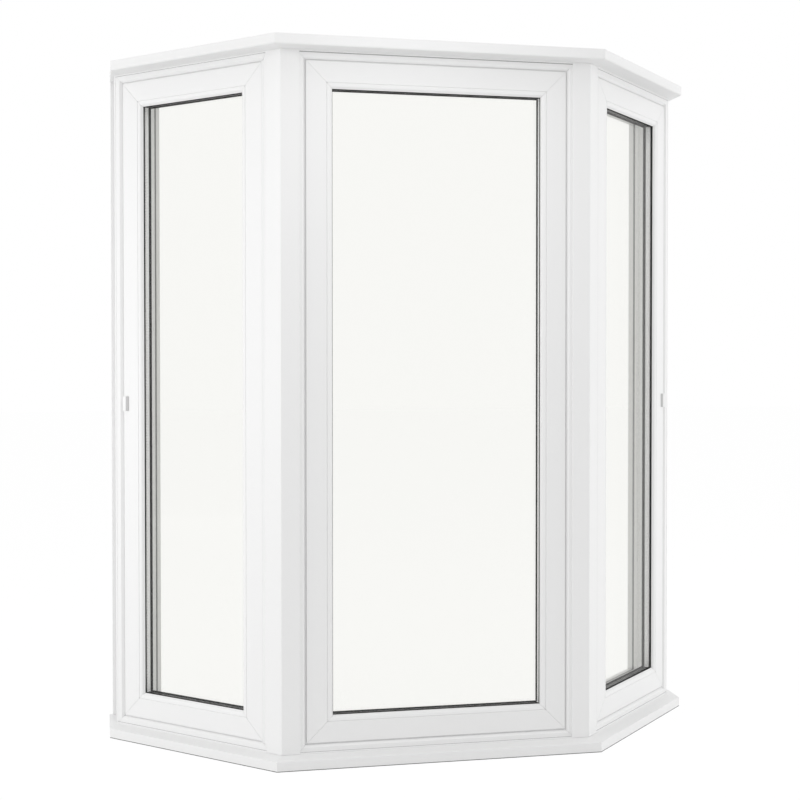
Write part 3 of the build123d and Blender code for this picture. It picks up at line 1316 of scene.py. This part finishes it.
@dataclass(frozen=True)
class Handle:
    """The inside handle: a rounded plate, a collar and neck, and a lever that hangs down."""

    plate_width: float = 28.0
    plate_height: float = 130.0
    plate_thickness: float = 9.0
    plate_corner: float = 13.0
    plate_ease: float = 3.0
    collar_radius: float = 12.0
    collar_height: float = 3.0
    collar_ease: float = 1.2
    neck_radius: float = 8.5
    neck_length: float = 22.0
    neck_ease: float = 1.0
    lever_width: float = 20.0
    lever_length: float = 120.0
    lever_thickness: float = 14.0
    screw_cover_radius: float = 5.0
    screw_cover_drop: float = 45.0
    cover_height: float = 0.8
    cover_ease: float = 0.6
    sunk: float = 1.0
    waist: float = 0.22
    waist_power: float = 1.5
    thinning: float = 0.3
    squareness: float = 0.72
    first_ring: float = 0.0197
    last_ring: float = 0.985
    rings: int = 60

    def surface(self, at: float, back: float) -> Surface:
        """All the handle's solids as one piece.

        Args:
            at: how far across the light the handle stands.
            back: the depth of the sash's back, which the plate sits on.

        Returns:
            The handle in the light's own space.
        """
        front = back + self.plate_thickness
        sunk, collar_front = front - self.sunk, front + self.collar_height
        lever_depth = front + self.neck_length
        corners = rectangle(self.plate_width, self.plate_height, self.plate_corner)
        plate = self.raised(rounded(corners, steps=10), back, front, self.plate_ease)
        collar = self.raised(circle(self.collar_radius), sunk, collar_front, self.collar_ease)
        neck = self.raised(circle(self.neck_radius), collar_front - self.sunk, lever_depth, self.neck_ease)
        cover = self.raised(circle(self.screw_cover_radius), sunk, front + self.cover_height, self.cover_ease)
        covers = [cover.moved((0.0, 0.0, drop)) for drop in (self.screw_cover_drop, -self.screw_cover_drop)]
        return Surface.joined([plate, collar, neck, self.lever(lever_depth), *covers]).moved((at, 0.0, 0.0))

    @staticmethod
    def raised(outline: Outline, back: float, front: float, ease: float) -> Surface:
        """A solid over an outline between two depths, with its front edge rounded."""
        return carried(rim(front, back, ease), outline, Facing.UPRIGHT)

    def lever(self, depth: float) -> Surface:
        """The lever: rings of a rounded-square section whose size follows a round end at both ends.

        The rings stand at the cosine of evenly spaced angles, from a share of the half turn to a share of
        it. At a distance e from an end nearer than the end radius r the width is scaled by the square root of
        1 - (1 - e / r) squared. Between the ends it narrows by a sine. The section at an angle is the half
        width times a signed power of the cosine, and the half thickness times that power of the sine.

        Args:
            depth: the depth of the lever's middle.

        Returns:
            The lever in the light's own space, its top end above the neck.
        """
        share = (1 - np.cos(np.linspace(self.first_ring, self.last_ring, self.rings) * np.pi)) / 2
        end_radius = self.lever_width / 2
        travel = share * self.lever_length
        nearer = np.minimum(travel, self.lever_length - travel)
        round_end = np.sqrt(1 - np.clip(1 - nearer / end_radius, 0, 1) ** 2)
        bulge = np.sin(np.pi * share)
        half_width = self.lever_width / 2 * round_end * (1 - self.waist * bulge ** self.waist_power)
        half_thickness = self.lever_thickness / 2 * np.sqrt(round_end) * (1 - self.thinning * bulge)
        section = circle(1.0, count=36).points
        squared = np.sign(section) * np.abs(section) ** self.squareness
        x = half_width[:, None] * squared[:, 0]
        y = depth + half_thickness[:, None] * squared[:, 1]
        z = np.broadcast_to((end_radius - travel)[:, None], x.shape)
        return lofted(np.stack([x, y, z], axis=-1))


@dataclass(frozen=True)
class HingeCap:
    """The moulded cap over the middle hinge, and the flank that slopes from it towards the glass, in a grey
    that is painted shade.
    """

    height: float = 43.0
    inset: float = 1.0
    flat: float = 11.5
    reach: float = 19.0
    stand_out: float = 2.8
    drop: float = 8.5
    arris: float = 0.8
    crown: float = 4.0
    shoulder: float = 0.6
    step: float = 0.3
    foot_height: float = 1.9
    foot_arris: float = 0.6
    ease: float = 0.5

    def carried_up(self, section: list[Corner], light: Light) -> Surface:
        """A plan section carried up over the cap's height, at the wall edge of the light.

        Args:
            section: distance from the cap's wall side, depth and radius of each corner.
            light: the light that it is on.

        Returns:
            The surface in the light's own space.
        """
        edge = light.width / 2 - light.setback - self.inset
        low, high = -self.drop - self.height / 2, -self.drop + self.height / 2
        return upright([(light.side.value * (edge - across), depth, radius)
                        for across, depth, radius in section], low, high, self.ease)

    def cap(self, light: Light) -> Surface:
        """The white cap, level in front, from the sash's face at the depth of its recess."""
        front, recess = -self.stand_out, light.sash.recess
        return self.carried_up([(0.0, recess, 0.0), (0.0, front, self.arris), (self.flat, front, self.arris),
                                (self.flat, recess, 0.0)], light)

    def flank(self, light: Light) -> Surface:
        """The flank: it starts a step below the cap's front and slopes to the sash's face.

        Args:
            light: the light that it is in.

        Returns:
            The flank in the light's own space.
        """
        front, start = self.step - self.stand_out, self.flat - self.arris
        recess = light.sash.recess
        return self.carried_up([(start, recess, 0.0), (start, front, 0.0),
                                (self.flat + self.shoulder, front, self.crown),
                                (self.reach, recess - self.foot_height, self.foot_arris),
                                (self.reach, recess, 0.0)], light)


@dataclass(frozen=True)
class GapSeals:
    """What closes the gaps round a sash: the weather seal, the closing lip and the seal at the stop leg."""

    depth: float = 7.8
    thickness: float = 6.0
    nose: float = 1.0
    edge: float = 0.5
    lip_lap: float = 0.6
    lip_depth: float = 0.4
    stop_sunk: float = 2.0
    stop_nose: float = 0.6
    stop_round: float = 0.5

    @property
    def back(self) -> float:
        """The depth of the weather seal's back."""
        return self.depth + self.thickness

    def weather_seal(self, light: Light) -> Surface:
        """The pale seal that closes the gap round the sash.

        Args:
            light: the light that it is in.

        Returns:
            A round-nosed strip carried round, in the light's own space.
        """
        near, far, nose, edge = light.frame.face, light.setback, self.nose, self.edge
        return ring([(near, self.depth + nose, edge), ((near + far) / 2, self.depth, nose),
                     (far, self.depth + nose, edge), (far, self.back, edge), (near, self.back, edge)],
                    *light.size)

    def closing_lip(self, light: Light) -> Surface:
        """The white lip over the bevel and the gap along the post, on the side away from the hinges.

        Args:
            light: the light that it is in.

        Returns:
            A level section carried up, in the light's own space.
        """
        near, far = light.frame.flat + self.lip_lap, light.setback + self.lip_lap
        section = [(near, self.lip_lap + self.lip_depth, FINE),
                   (far, light.sash.recess + self.lip_depth, FINE), (far, self.back, 0), (near, self.back, 0)]
        level = light.height / 2 - light.frame.face
        return upright([(-light.side.value * (light.width / 2 - inset), depth, radius)
                        for inset, depth, radius in section], -level, level, FINE)

    def stop_seal(self, light: Light) -> Surface:
        """The dark seal in the gap between the stop leg and the sash's step, seen from the room.

        Args:
            light: the light that it is in.

        Returns:
            A strip with a low nose carried round, in the light's own space.
        """
        near, far = light.frame.face + light.frame.stop_width, light.setback + light.sash.step
        front, nose = light.frame.stop_front, light.sash.back - self.stop_sunk
        side = nose - self.stop_nose
        return ring([(near, front, 0), (far, front, 0), (far, side, FINE),
                     ((near + far) / 2, nose, self.stop_round), (near, side, FINE)], *light.size)


@dataclass(frozen=True)
class FrameJoints:
    """The sealant in the corners of a frame's face with the sill and the head, and a grey line of painted
    shade beside it.
    """

    cover_lap: float = 8.0
    size: float = 3.5
    sunk: float = 0.5
    roundness: float = 0.8
    line_height: float = 0.2
    line_edge: float = 0.1
    line_width: float = 0.7
    head_shadow_width: float = 1.9

    def sealant(self, light: Light) -> Surface:
        """The quarter-round beads of sealant in the corners with the sill and the head.

        Args:
            light: the light that it is in.

        Returns:
            Both beads, in the light's own space.
        """
        size, sunk = self.size, self.sunk
        section = [(-sunk, sunk, 0), (-sunk, -size, 0), (size, -size, self.roundness * size), (size, sunk, 0)]
        return self.along_joints(light, section, section)

    def joint_shade_line(self, light: Light) -> Surface:
        """A thin grey line of painted shade at the edge of each bead of sealant, wider at the head of the
        centre light for the head board's painted shadow.

        Args:
            light: the light that it is in.

        Returns:
            Both lines of painted shade, in the light's own space.
        """
        # painted shadow: the line is wider at the centre light's head for the head board's shadow
        head = self.head_shadow_width if light.side is Side.CENTRE else self.line_width
        near, face = self.size - FINE, -self.line_height
        ends = (self.size + reach for reach in (self.line_width, head))
        foot_section, head_section = (
            [(near, FINE, 0), (near, face, 0), (end, face, self.line_edge), (end, FINE, 0)] for end in ends)
        return self.along_joints(light, foot_section, head_section)

    def along_joints(self, light: Light, foot: list[Corner], head: list[Corner]) -> Surface:
        """Sections carried along the foot and the head of the frame, between the posts' covers.

        Args:
            light: the light that they are in.
            foot: height from the corner, depth and radius of each corner of the section at the foot.
            head: the same for the section at the head.

        Returns:
            The two strips in the light's own space.
        """
        left = -light.width / 2 + (0 if light.side is Side.LEFT else self.cover_lap)
        right = light.width / 2 - (0 if light.side is Side.RIGHT else self.cover_lap)
        level = light.height / 2
        runs = (foot, [(left, -level, 0), (right, -level, 0)]), (head, [(right, level, 0), (left, level, 0)])
        return Surface.joined([carried(rounded(anticlockwise(section)), rounded(path, closed=False),
                                       Facing.UPRIGHT) for section, path in runs])


@dataclass(frozen=True)
class Light:
    """One of the three lights, with everything in it."""

    side: Side
    plan: BayPlan
    frame: OuterFrame = OuterFrame()
    sash: Sash = Sash()
    unit: SealedUnit = SealedUnit()
    bead: GlazingBead = GlazingBead()
    seals: GapSeals = GapSeals()
    joints: FrameJoints = FrameJoints()
    handle: Handle = Handle()
    cap: HingeCap = HingeCap()
    gap: float = 4.0
    level_margin: float = 1.0

    @property
    def width(self) -> float:
        """The width of the outer frame."""
        return self.plan.width(self.side)

    @property
    def height(self) -> float:
        """The height of the outer frame."""
        return self.plan.height

    @property
    def size(self) -> tuple[float, float]:
        """The width and the height of the outer frame."""
        return self.width, self.height

    @property
    def setback(self) -> float:
        """The inset of the sash's outer edge."""
        return self.frame.face + self.gap

    @property
    def leaf(self) -> tuple[float, float]:
        """The width and the height of the sash."""
        return self.width - 2 * self.setback, self.height - 2 * self.setback

    def put(self, part: str, surface: Surface, finish: Finish, *nodes: str) -> None:
        """Places one piece of this light and names it after the light."""
        name = f"{self.side.word}_{part}"
        fitted(name, surface.placed(self.plan.place(self.side)), finish,
               *(f"{node}_{self.side.word}" for node in nodes))

    def build(self, nodes: dict[str, bpy.types.Object]) -> None:
        """Makes every piece of the light and finishes the two packed panes.

        Args:
            nodes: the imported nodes' objects.
        """
        self.put("outer_frame", self.frame.surface(self), PROFILE, "frame")
        self.put("sash_leaf", self.sash.surface(self), PROFILE, "sash")
        self.put("bead", self.bead.surface(self), PROFILE, "glazing_bead")
        self.put("bead_seal", self.bead.groove_shade_strip(self), BEAD_GROOVE_SHADE)
        for face, node, depth, thickness in (
                ("outside", "outer_gasket", self.sash.lip_back, self.unit.outer_gasket),
                ("inside", "inner_gasket", self.unit.back(self.sash), self.unit.inner_gasket)):
            self.put(f"glass_gasket_{face}", self.unit.gasket(self, depth, thickness), GASKET, node)
        self.put("spacer_bar", self.unit.spacer(self), self.spacer_finish(), "spacer")
        self.put("weather_seal", self.seals.weather_seal(self), SEAL)
        if self.side is not Side.CENTRE:
            self.put("closing_lip", self.seals.closing_lip(self), SEALANT)
        self.put("stop_seal", self.seals.stop_seal(self), GASKET)
        self.put("sealant", self.joints.sealant(self), SEALANT)
        self.put("joint_shade_line", self.joints.joint_shade_line(self), JOINT)
        self.put("inside_handle", self.inside_handle(), HANDLE, "handle")
        if self.side is not Side.CENTRE:
            self.put("hinge_cover", self.cap.cap(self), CAP, "hinge_cap")
            self.put("hinge_flank", self.cap.flank(self), PAINTED_SHADE_FLANK, "hinge_cap")
        for pane in ("outer_pane", "inner_pane"):
            finish_node(nodes[f"{pane}_{self.side.word}"], GLASS)

    def spacer_finish(self) -> RolledAluminium:
        """The spacer's finish.

        Returns:
            The finish, whose painted shade starts just inside the faces of the level bars.
        """
        face = self.setback + self.unit.spacer_inset_in(self.sash) + self.unit.spacer_height
        painted_shade_from = self.height / 2 - face - self.level_margin
        return RolledAluminium("rolled_aluminium", Slot.SPACER, self.plan.middle * MM, painted_shade_from * MM)

    def inside_handle(self) -> Surface:
        """The handle, half way between the sash's step and its glazing bead, away from the wall.

        Returns:
            The handle in the light's own space.
        """
        inset = self.setback + (self.sash.step + self.sash.seat) / 2
        sign = -1 if self.side is Side.RIGHT else 1
        return self.handle.surface(sign * (self.width / 2 - inset), self.sash.back)


def finish_node(node: bpy.types.Object, finish: Finish) -> None:
    """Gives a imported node, left as it is, a finish.

    Args:
        node: the node's object.
        finish: its finish.
    """
    if not node.material_slots:
        node.data.materials.append(None)
    for slot in node.material_slots:
        slot.material = material(finish)
    log.info("%s: packed node finished as %s", node.name, finish.name)


# ---------------------------------------------------------------- posts, jambs, head board and sill


@dataclass(frozen=True)
class CornerPost:
    """A bay corner: a core in the wedge between two frames, and a folded cover outside and inside."""

    side: Side
    plan: BayPlan
    outer_lap: float = FrameJoints.cover_lap
    cover_thickness: float = 4.0
    inner_cover: float = 20.0
    arris: float = 1.6
    edge: float = 1.0
    ease: float = 0.4

    def build(self) -> None:
        """Makes the core and the two covers."""
        setback, depth = self.plan.setback, self.plan.frame_depth
        folds = {"core": self.folded(setback, depth, 0.0, 0.0, 0.0, 0.0),
                 "cover_outside": self.folded(setback + self.outer_lap, 0.0, -self.cover_thickness,
                                              self.edge, self.arris, self.ease),
                 "cover_inside": self.folded(setback + self.inner_cover, depth, depth + self.cover_thickness,
                                             self.edge, self.edge, self.ease)}
        for part, surface in folds.items():
            fitted(f"{self.side.word}_post_{part}", surface, PROFILE, f"bay_post_{self.side.word}")

    def folded(self, reach: float, seat: float, face: float,
               edge: float, arris: float, ease: float) -> Surface:
        """A solid folded round the corner: two legs of one thickness, carried up.

        Args:
            reach: how far each leg goes from the corner.
            seat: the depth of its hidden side.
            face: the depth of its visible face.
            edge: the rounding of the face's two edges.
            arris: the rounding of its fold.
            ease: the rounding of its ends.

        Returns:
            The solid in the part's space.
        """
        plan, side = self.plan, self.side
        return upright([(*plan.ahead(side, reach, seat), 0), (*plan.ahead(side, reach, face), edge),
                        (*plan.corner(side, face), arris), (*plan.beside(side, reach, face), edge),
                        (*plan.beside(side, reach, seat), 0), (*plan.corner(side, seat), 0)],
                       plan.bottom, plan.top, ease)


@dataclass(frozen=True)
class WallJamb:
    """The jamb from the end of a side light to the house wall, and the strip over its joint."""

    side: Side
    plan: BayPlan
    edge: float = 1.0
    strip_edge: float = 2.0
    strip_ease: float = 0.4

    def build(self) -> None:
        """Makes the jamb and the cover strip, each a plan outline carried up."""
        plan, side = self.plan, self.side
        face_along = (plan.jamb_x - plan.corner_x) / np.cos(plan.turn)
        inner = plan.beside(side, plan.side_end, plan.frame_depth)
        jamb = upright([(*plan.beside(side, plan.side_end, 0.0), 0),
                        (*plan.beside(side, face_along, 0.0), self.edge),
                        (side.value * plan.jamb_x, plan.wall, 0), (inner[0], plan.wall, 0), (*inner, 0)],
                       plan.bottom, plan.top, FINE)
        fitted(f"{side.word}_jamb", jamb, PROFILE, f"wall_jamb_{side.word}")
        low, high = node_box(f"cover_strip_{side.word}")
        near, far = sorted((low[0], high[0]), key=abs)
        strip = upright([(near, low[1], FINE), (far, low[1], self.strip_edge), (far, high[1], 0),
                         (near, high[1], 0)], plan.bottom, plan.top, self.strip_ease)
        fitted(f"{side.word}_wall_strip", strip, BOARD, f"cover_strip_{side.word}")


@dataclass(frozen=True)
class Board:
    """A flat board by its plan, with a rounding of its own for the top and bottom edge of each side.

    Each side's line steps in by r * (1 - cos(angle)) and up by r * (1 + sin(angle)) as the angle of its
    normal goes from straight down to level, and the same the other way up. A corner is where two such
    lines cross.
    """

    corners: Array
    low_radius: Array
    high_radius: Array
    bottom: float
    top: Array
    steps: int = 5

    def surface(self, top_faces: list[list[int]]) -> Surface:
        """The board as a skin of rings from its underside to its top.

        Args:
            top_faces: the corners of each flat part of the top, which may fold between them.

        Returns:
            The surface, in the space of its corners.
        """
        ahead = unit(np.roll(self.corners, -1, axis=0) - self.corners)
        normal = np.stack([ahead[:, 1], -ahead[:, 0]], axis=1)
        before = np.roll(normal, 1, axis=0)
        low_angle = np.radians(np.linspace(-90, 0, self.steps + 1))
        high_angle = np.radians(np.linspace(0, 90, self.steps + 1))
        angle = np.concatenate([low_angle, high_angle])
        below = np.arange(len(angle)) <= self.steps
        radius = np.where(below[:, None], self.low_radius[None], self.high_radius[None])
        inset = radius * (1 - np.cos(angle))[:, None]
        # where two sides run on in one line, the pseudo-inverse moves their corner straight in
        crossing = np.linalg.pinv(np.stack([before, normal], axis=1), rcond=1e-6)
        both = np.stack([np.roll(inset, 1, axis=1), inset], axis=-1)
        flat = self.corners - (crossing @ both[..., None])[..., 0]
        reach = np.maximum(radius, np.roll(radius, 1, axis=1))
        rise = reach * (1 + np.sin(angle))[:, None]
        drop = reach * (1 - np.sin(angle))[:, None]
        height = np.where(below[:, None], self.bottom + rise, self.top[None] - drop)
        points = np.concatenate([flat, height[..., None]], axis=-1).reshape(-1, 3)

        count, rings = len(self.corners), len(angle)
        numbers = np.arange(rings * count).reshape(rings, count)
        level, side = np.arange(rings - 1)[:, None], np.arange(count)[None]
        after = (side + 1) % count
        index = np.stack([numbers[level, side], numbers[level, after],
                          numbers[level + 1, after], numbers[level + 1, side]], axis=-1).reshape(-1, 4)
        slant = normal[None] * np.cos(angle)[:, None, None]
        lift = np.broadcast_to(np.sin(angle)[:, None, None], (rings, count, 1))
        facing = np.concatenate([slant, lift], axis=-1)
        normals = np.stack([facing[:-1], facing[:-1], facing[1:], facing[1:]], axis=2).reshape(-1, 4, 3)
        spot = points[index] * MM
        way = np.broadcast_to(ahead[None], (rings - 1, count, 2)).reshape(-1, 1, 2)
        runs = np.stack([np.sum(spot[..., :2] * way, axis=-1), spot[..., 2]], axis=-1)
        body = quads(points, index, normals, runs)
        underside = end_face(points, numbers[0], np.array([0.0, 0.0, -1.0]))
        tops = []
        for face in top_faces:
            ring_numbers = numbers[-1][face]
            first, second, third = points[ring_numbers[:3]]
            up = unit(np.cross(second - first, third - first))
            tops.append(end_face(points, ring_numbers, up * np.sign(up[2])))
        return capped(body, [underside, *tops])


class Edge(Enum):
    """What a side of a board's plan is, which sets how far its edges are rounded."""

    NOSE = 0
    END = 1
    JOINT = 2
    BACK = 3


@dataclass(frozen=True)
class MitredBoard:
    """A board along the three lights in three mitred lengths; its top may fall from the frames' face."""

    plan: BayPlan
    node: str
    nose_under: float
    nose_over: float
    fall: float = 0.0
    end_ease: float = 1.0
    joint_ease: float = 0.35
    back_ease: float = 1.0

    @property
    def reach(self) -> float:
        """How far the nose stands out from the frames' face."""
        return self.plan.face - node_box(f"{self.node}_centre")[0][1]

    @property
    def end_x(self) -> float:
        """The distance of the board's two ends from the middle of the bay."""
        return node_box(f"{self.node}_right")[1][0]

    @property
    def nose_end(self) -> float:
        """How far along from the bay corner the nose meets the board's end."""
        plan = self.plan
        return float((self.end_x - plan.corner_x - self.reach * np.sin(plan.turn)) / np.cos(plan.turn))

    def build(self) -> None:
        """Makes the three lengths."""
        for side in Side:
            low, high = node_box(f"{self.node}_{side.word}")
            sides = self.length(side)
            last = len(sides) - 1
            corners = [point for point, _ in sides]
            under, over = ([self.ease(edge, nose) for _, edge in sides]
                           for nose in (self.nose_under, self.nose_over))
            top = np.where(np.arange(len(sides)) < 2, high[2] - self.fall, high[2])
            faces = [[0, 1, 2, last], [last, *range(2, last)]] if self.fall else [[*range(len(sides))]]
            if is_clockwise(corners):
                top, faces = top[::-1], [[last - corner for corner in face] for face in faces]
            board = Board(*turned_round(corners, under, over), low[2], top)
            fitted(f"{side.word}_{self.node}", board.surface(faces), BOARD, f"{self.node}_{side.word}")

    def ease(self, edge: Edge, nose: float) -> float:
        """The rounding of a side's edge, where the nose has its own."""
        return {Edge.NOSE: nose, Edge.END: self.end_ease, Edge.JOINT: self.joint_ease,
                Edge.BACK: self.back_ease}[edge]

    def length(self, side: Side) -> list[tuple[Point, Edge]]:
        """The plan of one length: mitred at the bay corners, and square to the wall at an end.

        Args:
            side: which length it is.

        Returns:
            Each corner, with what the side that starts there is. A length that falls has a corner more
            on each of its sides, where it folds at the frames' face.
        """
        plan, reach, depth = self.plan, self.reach, self.plan.frame_depth
        if side is Side.CENTRE:
            fold, fold_back = ((plan.corner(end, 0.0), Edge.JOINT) for end in (Side.RIGHT, Side.LEFT))
            sides = [(plan.corner(Side.LEFT, -reach), Edge.NOSE),
                     (plan.corner(Side.RIGHT, -reach), Edge.JOINT), fold,
                     (plan.corner(Side.RIGHT, depth), Edge.BACK),
                     (plan.corner(Side.LEFT, depth), Edge.JOINT), fold_back]
        else:
            inner = plan.beside(side, plan.side_end, depth)
            fold_along = (self.end_x - plan.corner_x) / np.cos(plan.turn)
            fold = plan.beside(side, fold_along, 0.0), Edge.END
            fold_back = plan.corner(side, 0.0), Edge.JOINT
            sides = [(plan.corner(side, -reach), Edge.NOSE),
                     (plan.beside(side, self.nose_end, -reach), Edge.END), fold,
                     ((side.value * self.end_x, plan.wall), Edge.JOINT), ((inner[0], plan.wall), Edge.JOINT),
                     (inner, Edge.BACK), (plan.corner(side, depth), Edge.JOINT), fold_back]
        return sides if self.fall else [each for each in sides if each not in (fold, fold_back)]


@dataclass(frozen=True)
class Bedding:
    """The thin dark strip of painted contact shadow under the sill's nose, all along it."""

    sill: MitredBoard
    height: float = 1.7
    inset: float = 0.4

    def build(self) -> None:
        """Makes the strip: a flat section carried along the nose of all three lengths."""
        plan, reach, along = self.sill.plan, self.sill.reach, self.sill.nose_end
        path = [plan.beside(Side.LEFT, along, -reach), plan.corner(Side.LEFT, -reach),
                plan.corner(Side.RIGHT, -reach), plan.beside(Side.RIGHT, along, -reach)]
        near, far = self.inset, self.sill.nose_under
        section = rounded([(near, 0, 0), (far, 0, 0), (far, self.height, 0), (near, self.height, 0)])
        line = rounded([(*point, 0) for point in path], closed=False)
        fitted("sill_bedding", carried(section, line, Facing.PLAN), CONTACT_SHADOW)


def turned_round(plan: list[Point], *sides: list[float]) -> tuple[Array, ...]:
    """A plan's corners in anticlockwise order, with values that belong to its sides.

    The value of a side is listed with the corner that the side starts from.

    Args:
        plan: the corners.
        sides: lists of one value for each side.

    Returns:
        The corners, and each list in the new order.
    """
    corners = np.array(plan, float)
    values = [np.array(side, float) for side in sides]
    if is_clockwise(plan):
        corners = corners[::-1]
        values = [np.roll(value[::-1], -1) for value in values]
    return (corners, *values)


# ---------------------------------------------------------------- studio


def stand(name: str, data: bpy.types.ID, place: tuple[float, float, float],
          right: Array, up: Array) -> bpy.types.Object:
    """A lamp or camera in its place.

    Args:
        name: its name.
        data: the lamp or camera.
        place: where it stands, in metres.
        right: the way that its right points.
        up: the way that its up points; it looks away from the cross product of the two.

    Returns:
        Its object.
    """
    thing = bpy.data.objects.new(name, data)
    turn = Matrix(np.column_stack([right, up, np.cross(right, up)]).tolist()).to_4x4()
    thing.matrix_world = Matrix.Translation(place) @ turn
    bpy.context.scene.collection.objects.link(thing)
    return thing


@dataclass(frozen=True)
class Softbox:
    """A square area lamp, aimed at a point."""

    name: str
    place: tuple[float, float, float]
    size: float
    power: float

    def build(self, target: Array) -> None:
        """Hangs the lamp and turns it to a point.

        Args:
            target: the point, in metres.
        """
        data = bpy.data.lights.new(self.name, "AREA")
        data.shape = "SQUARE"
        data.size = self.size
        data.energy = self.power
        away = unit(np.array(self.place) - target)
        side = unit(np.cross([0.0, 0.0, 1.0], away))
        stand(self.name, data, self.place, side, np.cross(away, side)).visible_glossy = False


@dataclass(frozen=True)
class Studio:
    """Plain white surroundings, soft lamps, a pale floor and the camera."""

    ambient: float = 0.795
    floor_half: float = 30.0
    lamps: tuple[Softbox, ...] = (
        Softbox("left_softbox", (-6.5, -1.0, 1.2), 3.0, 95.0),
        Softbox("left_fill", (-2.1, -0.65, 1.15), 0.6, 2.5),
        Softbox("right_softbox", (6.5, -1.0, 1.2), 3.0, 112.0),
        Softbox("front_softbox", (-0.15, -1.0, 2.0), 0.4, 1.4),
        Softbox("top_softbox", (0.0, -1.6, 5.0), 3.0, 16.0),
    )
    camera_place: tuple[float, float, float] = (-0.9441, -3.8710, 1.1016)
    camera_yaw: float = 11.76
    camera_pitch: float = -0.99
    camera_roll: float = -0.04
    lens: float = 59.99
    film_width: float = 36.0
    shift: tuple[float, float] = (0.0334, -0.0125)

    def build(self) -> None:
        """Sets up everything that isn't the object."""
        self.world()
        self.floor()
        low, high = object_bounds()
        target = (np.array(low) + np.array(high)) / 2
        for lamp in self.lamps:
            lamp.build(target)
        self.camera()
        bpy.context.scene.view_settings.view_transform = "Standard"

    def world(self) -> None:
        """A plain grey world for light, and white for what the camera, metal and glass see."""
        world = bpy.data.worlds.new("studio")
        bpy.context.scene.world = world
        world.use_nodes = True
        graph = Graph(world.node_tree)
        strength = graph.seen() * (1 - self.ambient) + self.ambient
        graph.finish(graph.add("ShaderNodeBackground", {}, {"Color": paint(1.0), "Strength": strength}))

    def floor(self) -> None:
        """The pale floor under the sill."""
        half = self.floor_half
        mesh = bpy.data.meshes.new("floor")
        mesh.from_pydata([(-half, -half, 0), (half, -half, 0), (half, half, 0), (-half, half, 0)], [],
                         [(0, 1, 2, 3)])
        floor = bpy.data.objects.new("floor", mesh)
        floor.data.materials.append(material(FLOOR))
        bpy.context.scene.collection.objects.link(floor)
        floor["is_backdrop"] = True

    def camera(self) -> None:
        """The camera, turned by its yaw towards +X, its pitch and its roll."""
        yaw, pitch, roll = np.radians([self.camera_yaw, self.camera_pitch, self.camera_roll])
        ahead = np.array([np.sin(yaw) * np.cos(pitch), np.cos(yaw) * np.cos(pitch), np.sin(pitch)])
        level = np.array([np.cos(yaw), -np.sin(yaw), 0.0])
        above = np.cross(level, ahead)
        right = level * np.cos(roll) + above * np.sin(roll)
        up = above * np.cos(roll) - level * np.sin(roll)
        data = bpy.data.cameras.new("camera")
        data.lens = self.lens
        data.sensor_width = self.film_width
        data.shift_x, data.shift_y = self.shift
        bpy.context.scene.camera = stand("camera", data, self.camera_place, right, up)


# ---------------------------------------------------------------- the whole scene


def main() -> None:
    """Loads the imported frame, dresses it piece by piece, and sets up the studio."""
    logging.basicConfig(level=logging.INFO, format="%(message)s")
    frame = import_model()
    plan = BayPlan.from_frame(OuterFrame.depth, BAY_ANGLE)
    Studio().build()
    MitredBoard(plan, "head_board", nose_under=5.0, nose_over=1.5).build()
    sill = MitredBoard(plan, "sill", nose_under=3.5, nose_over=2.0, fall=4.0)
    sill.build()
    Bedding(sill).build()
    for side in (Side.LEFT, Side.RIGHT):
        CornerPost(side, plan).build()
        WallJamb(side, plan).build()
    for side in Side:
        Light(side, plan).build(frame["nodes"])


if __name__ == "__main__":
    main()
